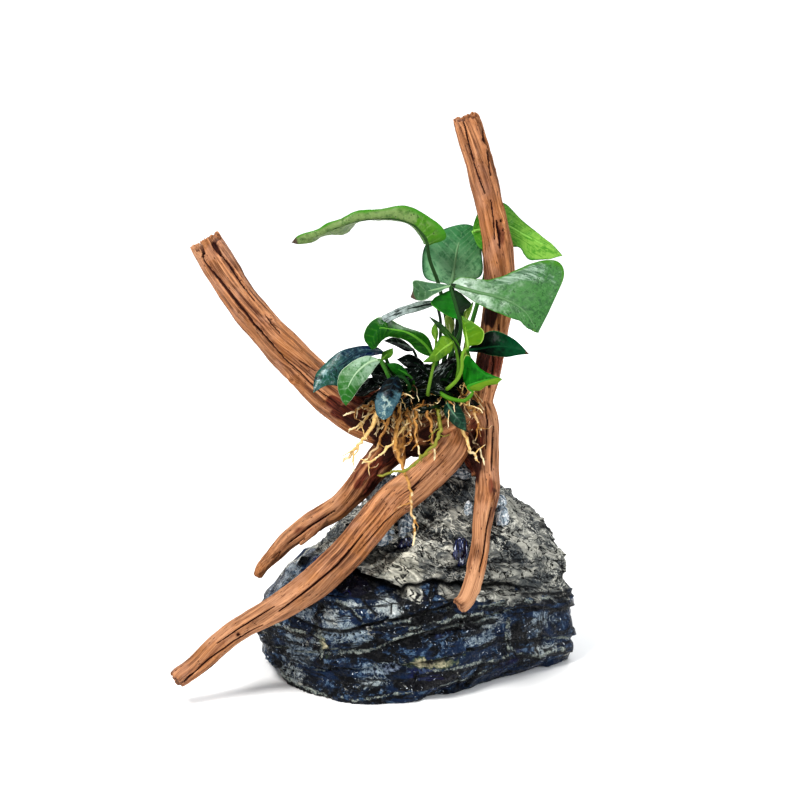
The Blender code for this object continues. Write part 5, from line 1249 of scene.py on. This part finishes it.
def makeCrowd():
    picks = random.Random(crowding["seed"])
    for index in range(crowding["count"]):
        base = [picks.uniform(low, high) for low, high in zip(crowding["low"], crowding["high"])]
        base[2] = min(base[2], 152 + 0.3 * base[0])
        length = picks.uniform(*crowding["length"])
        half = length * picks.uniform(*crowding["width"]) / 2
        turn = picks.uniform(-2.2, 2.2)
        ahead = numpy.array((math.sin(turn), picks.uniform(-0.7, 0.3), math.cos(turn) * 0.6))
        ahead /= numpy.linalg.norm(ahead)
        aside = numpy.cross(ahead, (picks.gauss(0, 0.5), -1.0, picks.gauss(0.3, 0.5)))
        aside /= numpy.linalg.norm(aside)
        up = numpy.cross(aside, ahead)
        rows = []
        for share, wide in crowding["outline"]:
            middle = base + ahead * length * share - up * crowding["droop"] * length * share**2
            raised = up * half * wide * crowding["fold"]
            rows.append([middle - aside * half * wide + raised, middle, middle + aside * half * wide + raised])
        foot = base - ahead * 5 + numpy.array((0, 4.0, -2.5))
        lookName = crowding["looks"][index % len(crowding["looks"])]
        leaf = makeLeaf("crowded_leaf_" + str(index + 1), [foot, base - ahead * 2, base], rows, lookOf(lookName))
        dress(leaf, bpy.data.materials[camel(lookName) + "Skin"], "leaf")


makeCrowd()
print("crowded leaves made")


# Creeping stem, with leaf scars and old brown sheaths
stem = {
    "route": [(-8.5, -7, 141.5), (-2.5, -8, 142.5), (6, -9, 144.5), (16, -10, 145.5), (23.5, -10, 147),
              (29, -9.5, 149.5), (33, -10.5, 151)],
    "radius": 4.3,
    "ringGap": 4.2,
    "ringDepth": 0.45,
    "knobbliness": 0.5,
}


def makeStem():
    route = flow(stem["route"], 0.8)
    order = numpy.arange(len(route))
    radii = stem["radius"] * numpy.sqrt(numpy.clip((numpy.minimum(order, order[::-1]) + 1) / 5.0, 0.12, 1.0))
    body = addTubes("creepingStem", [(route, radii)], 14)
    points = getPlaces(body)
    ring = ((points[:, 0] + 2.2 * noiseAt(points, 0.12)) / stem["ringGap"]) % 1.0
    push = stem["ringDepth"] * (ring - 1.6 * soft(ring, 0.8, 1.0)) + stem["knobbliness"] * noiseAt(points, 0.3)
    setPlaces(body, points + readMesh(body, "normal") * push[:, None])
    paint(body, ring=ring)
    return body


def stemSkin():
    board = Board("creepingStemSkin")
    fine = board.cloud(1.6)
    colour = board.cover(
        board.mix(board.fade(board.cloud(0.35, 4), 0.35, 0.65), "1a220e", "4e5420"),
        (board.fade(board.value("ring"), 0.78, 0.95), "1c120a"),
        (board.fade(fine, 0.55, 0.75) * 0.6, "70542a"),
    )
    board.bump(fine, 0.6, 0.3)
    return board.finish(Base_Color=colour, Roughness=0.6)


dress(makeStem(), stemSkin(), "rhizome", "rhizome")
print("creeping stem made")


# Each root: its radius where it leaves the stem, then its points
rootRoutes = {
    "root_long_front": (1, [(2, -11, 143), (0, -20, 135.5), (-2, -26, 128.5), (-1.5, -31, 120.5),
        (1.5, -37, 113.5), (4, -41, 107.5), (5.5, -43, 99), (6, -43, 91.5), (7.5, -42, 84.5), (6.5, -43, 76)]),
    "root_green_runner": (1.1, [(17.5, -12, 144), (18.5, -19, 137), (20, -24.5, 131), (17.5, -30, 125),
        (11.5, -35, 118.5), (4, -41, 114), (-4, -41, 112), (-10.5, -39, 110)]),
    "root_left_thick": (1.3, [(-5, -9, 142), (-10, -18, 137), (-15, -22, 128.5), (-19.5, -24, 122.5),
        (-23, -25, 117.5), (-28, -25, 113)]),
    "root_left_short": (0.8, [(-6, -7, 142), (-12.5, -12.5, 139.5), (-17, -17, 132.5), (-21, -20, 130.5),
        (-25, -21, 128.5)]),
    "root_left_hanging": (0.9, [(-2, -10, 142), (-5, -22, 134.5), (-9, -26, 126.5), (-12.5, -26, 119),
        (-17.5, -25, 113)]),
    "root_crossing": (0.8, [(7, -11, 143.5), (2, -22, 131), (-5, -29, 121), (-13, -30, 116), (-18, -31, 114)]),
    "root_right_thick": (1.2, [(24.5, -11, 146), (27, -19.5, 138), (30.5, -25, 129), (33, -28, 123.5),
        (34, -28, 119.5), (37, -26, 116.5), (38.5, -25, 114)]),
    "root_right_yellow": (1.1, [(29, -11, 148.5), (32.5, -18, 142), (36, -19.5, 138), (37.5, -20.5, 133.5),
        (40, -21, 128.5)]),
    "root_right_straight": (0.8, [(27, -11, 147), (30.5, -20.5, 137), (34.5, -23, 126), (38.5, -24, 119.5),
        (41.5, -25, 113)]),
    "root_far_left": (0.8, [(-5, -9, 143), (-13.5, -18, 141.5), (-18.5, -22, 139.5), (-22.5, -24, 138.5),
        (-27.5, -25, 136.5)]),
    "root_centre_short": (0.9, [(4, -11, 143.5), (3.5, -20, 136), (5, -24, 129.5), (5, -26, 122)]),
    "root_centre_left": (0.9, [(10, -12, 144), (8, -20, 136), (7.5, -25, 128.5), (8.5, -28, 122.5), (9.5, -30, 118)]),
    "root_centre_right": (0.9, [(14, -12, 144), (14, -20, 136), (15, -24, 129.5), (15.5, -26, 124.5),
        (17, -28, 119.5), (16.5, -31, 115)]),
}
# Roots: the main ones follow their routes; fine ones wander down over the wood
rooting = {
    "seed": 11,
    "wiggle": 0.9 * 1.6,
    "kinks": 0.45 * 1.6,
    "branchLength": (4, 13),
    "branchWidth": (0.3, 0.6),
    "batches": {  # count, width, between which x values, how far they lean to the left
        "fineRoots": (330, (0.24, 0.66), (-99, 99), 0), "knottyRoots": (34, (0.55, 1), (-14, 8), 0.7),
    },
    "fineLength": (5, 25),
    "stepLength": 1.15,
    "sparse": ((17, 31), 0.72),  # between these x values, this share of the fine roots is missing
    "woodGap": 0.35,
    "wedge": [(-1, -22, 125, 3.4), (-0.6, -23, 120, 3.3), (0.8, -24.5, 114.5, 2.1), (1.8, -25.5, 110.5, 0.5)],
    "greenRoots": ["root_green_runner"],
}
draws = random.Random(rooting["seed"])
woodGuide = limbGuide([(name,) for name in woodRoutes])


def scatter(spread):  # a random step along each axis
    return numpy.array([draws.gauss(0, spread) for axis in range(3)])


def keepOut(place, gap):  # moves a point that has run into the wood back to the wood's face
    offset = place - woodGuide[:, :3]
    distance = lengths(offset)
    nearest = (distance - woodGuide[:, 3]).argmin()
    room = woodGuide[nearest, 3] + gap - distance[nearest]
    return place + offset[nearest] / distance[nearest] * room if room > 0 else place


def wander(start, heading, length, sink):  # a rootlet's points: it bends down and turns at random
    places = [numpy.array(start, float)]
    for count in range(int(length / rooting["stepLength"])):
        turn = scatter(1)
        kink = 0.26 if draws.random() > 0.2 else 0.95
        heading = heading + kink * turn + numpy.array((0, 0, -sink))
        heading = heading / numpy.linalg.norm(heading)
        places.append(keepOut(places[-1] + heading * rooting["stepLength"], rooting["woodGap"]))
    return numpy.array(places)


def rootStrands(name, strands):  # each strand is its points, its width, its tone and how much it thins
    marks = KDTree(sum(len(route) for route, *_ in strands))
    facts = []
    tubes = []
    for route, width, tone, thinning in strands:
        share = numpy.linspace(0, 1, len(route))
        radii = width * (1 - thinning * share) * (1 + 0.3 * noiseAt(route, 0.6, width))
        radii[-1] *= 0.45
        tubes.append((route, radii))
        for place, part in zip(route, share):
            marks.insert(place, len(facts))
            facts.append((tone, part))
    marks.balance()
    whole = joinAll(name, addTubes(name, tubes, 1))
    tones, parts = numpy.array([facts[marks.find(place)[1]] for place in getPlaces(whole)]).T
    paint(whole, tone=tones, tipward=parts)
    return whole


def makeRoot(name, width, points):
    route = flow(points, 0.9)
    sway = numpy.column_stack([noiseAt(route, 0.28, width * times) for times in (3, 5, 7)])
    kinks = numpy.column_stack([noiseAt(route, 0.8, width * times) for times in (4, 6, 8)])
    ease = soft(numpy.arange(len(route)), 0, 6)[:, None]
    route = route + (rooting["wiggle"] * sway + rooting["kinks"] * kinks) * ease
    tone = 2.0 if name in rooting["greenRoots"] else draws.uniform(0.2, 0.9)
    strands = [(route, width, tone, 0.45)]
    along = numpy.gradient(route, axis=0)
    along /= lengths(along)[:, None]
    for count in range(draws.randint(4, 8)):
        index = draws.randint(4, len(route) - 3)
        heading = along[index] + scatter(0.8)
        branch = wander(route[index], heading, draws.uniform(*rooting["branchLength"]), 0.08)
        strands.append((branch, draws.uniform(*rooting["branchWidth"]), tone, 0.7))
    return rootStrands(camel(name), strands)


def makeFineRoots(name, count, widths, span, lean):
    strands = []
    stemLine = [spot for spot in flow(stem["route"], 1.0) if span[0] < spot[0] < span[1]]
    (sparseFrom, sparseTo), sparseShare = rooting["sparse"]
    shortest, longest = rooting["fineLength"]
    for index in range(count):
        base = stemLine[draws.randrange(len(stemLine))]
        if sparseFrom < base[0] < sparseTo and draws.random() < sparseShare:
            continue
        angle = draws.uniform(-2.6, 0.5)  # from the back, round underneath, to the front
        out = numpy.array((draws.gauss(0, 0.35), -math.cos(angle + 0.6), math.sin(angle - 0.3)))
        out = out / numpy.linalg.norm(out)
        start = base + out * (stem["radius"] - 0.8)
        sideways = (base[0] - 12.0) / 22.0
        heading = out + numpy.array((0.55 * sideways + draws.gauss(0, 0.4) - lean, 0, -0.4))
        length = shortest + (longest - shortest) * draws.random() ** 1.6
        width = draws.uniform(*widths)
        tone = draws.random()
        root = wander(start, heading, length, 0.13)
        strands.append((root, width, tone, 0.5))
        if len(root) > 8 and draws.random() < 0.5:  # a fork
            fork = draws.randint(3, len(root) - 4)
            heading = root[fork] - root[fork - 1] + scatter(0.7)
            strands.append((wander(root[fork], heading, length * 0.5, 0.05), width * 0.8, tone, 0.6))
    return rootStrands(name, strands)


def rootSkin():
    board = Board("paleRoot")
    mix, fade, tone = board.mix, board.fade, board.value("tone")
    mottle = board.cloud(0.5)
    spread = tone + (mottle - 0.5) * 0.7
    tips = board.value("tipward") + (mottle - 0.5) * 0.6
    colour = board.cover(
        mix(fade(spread, 0.15, 0.5), "623814", "b08042"),
        (fade(spread, 0.5, 0.95), "e2c282"),
        (fade(mottle, 0.56, 0.72) * 0.6, "704016"),
        (fade(tone, 0.36, 0.16) * 0.9, "221007"),
        (fade(tips, 0.62, 1) * 0.85, "f0deb4"),
        (fade(tone, 1.3, 1.6), mix(mottle, "4a5c0e", "9e963e")),
    )
    board.bump(board.cloud(2.2), 0.4, 0.2)
    return board.finish(Base_Color=colour, Roughness=0.5, Specular_IOR_Level=0.3)


def makeWedge():  # a swollen, ribbed root that tapers to a point
    route = flow(rooting["wedge"], 0.4)
    body = joinAll("rootWedge", addTubes("rootWedge", [(route[:, :3], route[:, 3])], 14))
    points = getPlaces(body)
    ribs = 0.5 * noiseAt(points, (0.5, 0.5, 0.12)) + 0.35 * noiseAt(points, (1.3, 1.3, 0.3), 3.0)
    setPlaces(body, points + readMesh(body, "normal") * ribs[:, None] + (0, 0.4, 0))
    tone = numpy.maximum(0.3, 0.34 + 0.35 * noiseAt(points, 0.5))
    paint(body, tone=tone, tipward=0.35 * soft(points[:, 2], 116.0, 108.0))
    return body


paleRoot = rootSkin()
dress(makeWedge(), paleRoot, "root")
for rootName, (rootWidth, rootPoints) in rootRoutes.items():
    dress(makeRoot(rootName, rootWidth, rootPoints), paleRoot, "root", rootName)
for batchName, batch in rooting["batches"].items():
    fineRoots = makeFineRoots(batchName, *batch)
    dress(fineRoots, paleRoot, "root")
    print(batchName, "made:", len(fineRoots.data.polygons), "faces")


# Clear glue: lumps and crinkled sheets that hold the wood on the stone
glue = {
    "lumps": {  # centre, radii, turn about Y in degrees, how crinkled
        "glueUnderFoot": ((32, 7, 104.5), (10, 7, 3.6), -8, 0.5),
        "glueLeft": ((-9, -24, 91), (10.5, 5, 3.2), -45, 1.6),
        "glueBesideLeg": ((48, -18, 92), (5, 5, 3.5), 25, 0.6),
        "glueSheets": ((-8.6, 4, 91), (9, 3.5, 8.5), -50, 2.2),
        "glueFilm": ((-10, -28.6, 75), (8, 2.4, 5.6), -20, 0.4),
        "glueRibs": ((2.2, -25.4, 79.5), (3.8, 4.6, 7.4), 6, 1.4),
        "glueShoulder": ((30, -7.5, 103), (6.5, 3.4, 3.2), 0, 0.9),
        "glueLeftOfLeg": ((34, -21.2, 88), (2.3, 2, 4.4), 0, 0.6),
        "glueRightOfLeg": ((50.2, -23.2, 83), (3.6, 3.2, 7.2), 4, 0.7),
    },
    "blueLumps": {
        "blueTip": ((2.4, -30.6, 73.4), (4.2, 2, 2.8), -20, 0.2),
        "blueDrop": ((29.6, -36.6, 71), (4.3, 2.6, 7.2), 6, 0.2),
    },
    "nodes": {"glueUnderFoot": ["glue_under_foot"], "glueLeft": ["glue_left"], "glueBesideLeg": ["glue_beside_leg"]},
    "fineness": 6,
    "ripple": 0.22,
}


def makeGlue(name, centre, radii, turn, crinkle):
    bpy.ops.mesh.primitive_ico_sphere_add(subdivisions=glue["fineness"], radius=1.0)
    lump = joinAll(name, bpy.context.object)
    ball = readMesh(lump, "co")
    folds = ridgesAt(ball, (1.1, 1.6, 2.4), 4, centre[2]) - 1.1
    swell = 1 + 0.14 * noiseAt(ball, 2.0, centre[0])
    swell += glue["ripple"] * crinkle * folds * 0.6 + 0.05 * noiseAt(ball, 5.0, centre[0])
    x, y, z = (ball * radii * swell[:, None]).T
    angle = math.radians(turn)
    turned = (x * math.cos(angle) + z * math.sin(angle), y, -x * math.sin(angle) + z * math.cos(angle))
    setPlaces(lump, numpy.column_stack(turned) + centre)
    paint(lump, folds=soft(folds, -0.5, 0.5))
    return lump


def glueSkin():
    board = Board("clearGlue")
    mix, fade = board.mix, board.fade
    crease = board.cloud(0.5, 5, 0.6, 1.2)
    run = board.cloud(0.7, 4, 0.55, 0.5, (1, 1, 0.22))
    colour = board.cover(
        mix(fade(run, 0.38, 0.6), "485c6e", "bac8d2"),
        (fade(abs(crease - 0.5), 0.035, 0.008) * 0.6, "283038"),
        # painted highlight: white along the fold ridges of the glue
        (fade(board.value("folds") + (run - 0.5), 0.7, 1.05) * 0.85, "fcfeff"),
    )
    board.bump(crease * 0.5 + run, 0.6, 0.6)
    return board.finish(Base_Color=colour, Roughness=0.09, IOR=1.47, Transmission_Weight=0.3)


def blueGlassSkin():
    board = Board("blueGlass")
    streak = board.cloud(0.9, 3, 0.5, 0, (1, 1, 0.16))
    colour = board.mix(board.fade(streak, 0.4, 0.7), "040618", "1a285c")
    colour = board.mix(board.fade(streak, 0.62, 0.68), colour, "ced6e2")
    return board.finish(Base_Color=colour, Roughness=0.12, Specular_IOR_Level=0.6)


clearGlue = glueSkin()
for glueName, lump in glue["lumps"].items():
    dress(makeGlue(glueName, *lump), clearGlue, "glue", *glue["nodes"].get(glueName, []))
blueGlass = blueGlassSkin()
for glueName, lump in glue["blueLumps"].items():
    dress(makeGlue(glueName, *lump), blueGlass, "glue")
print("glue made")
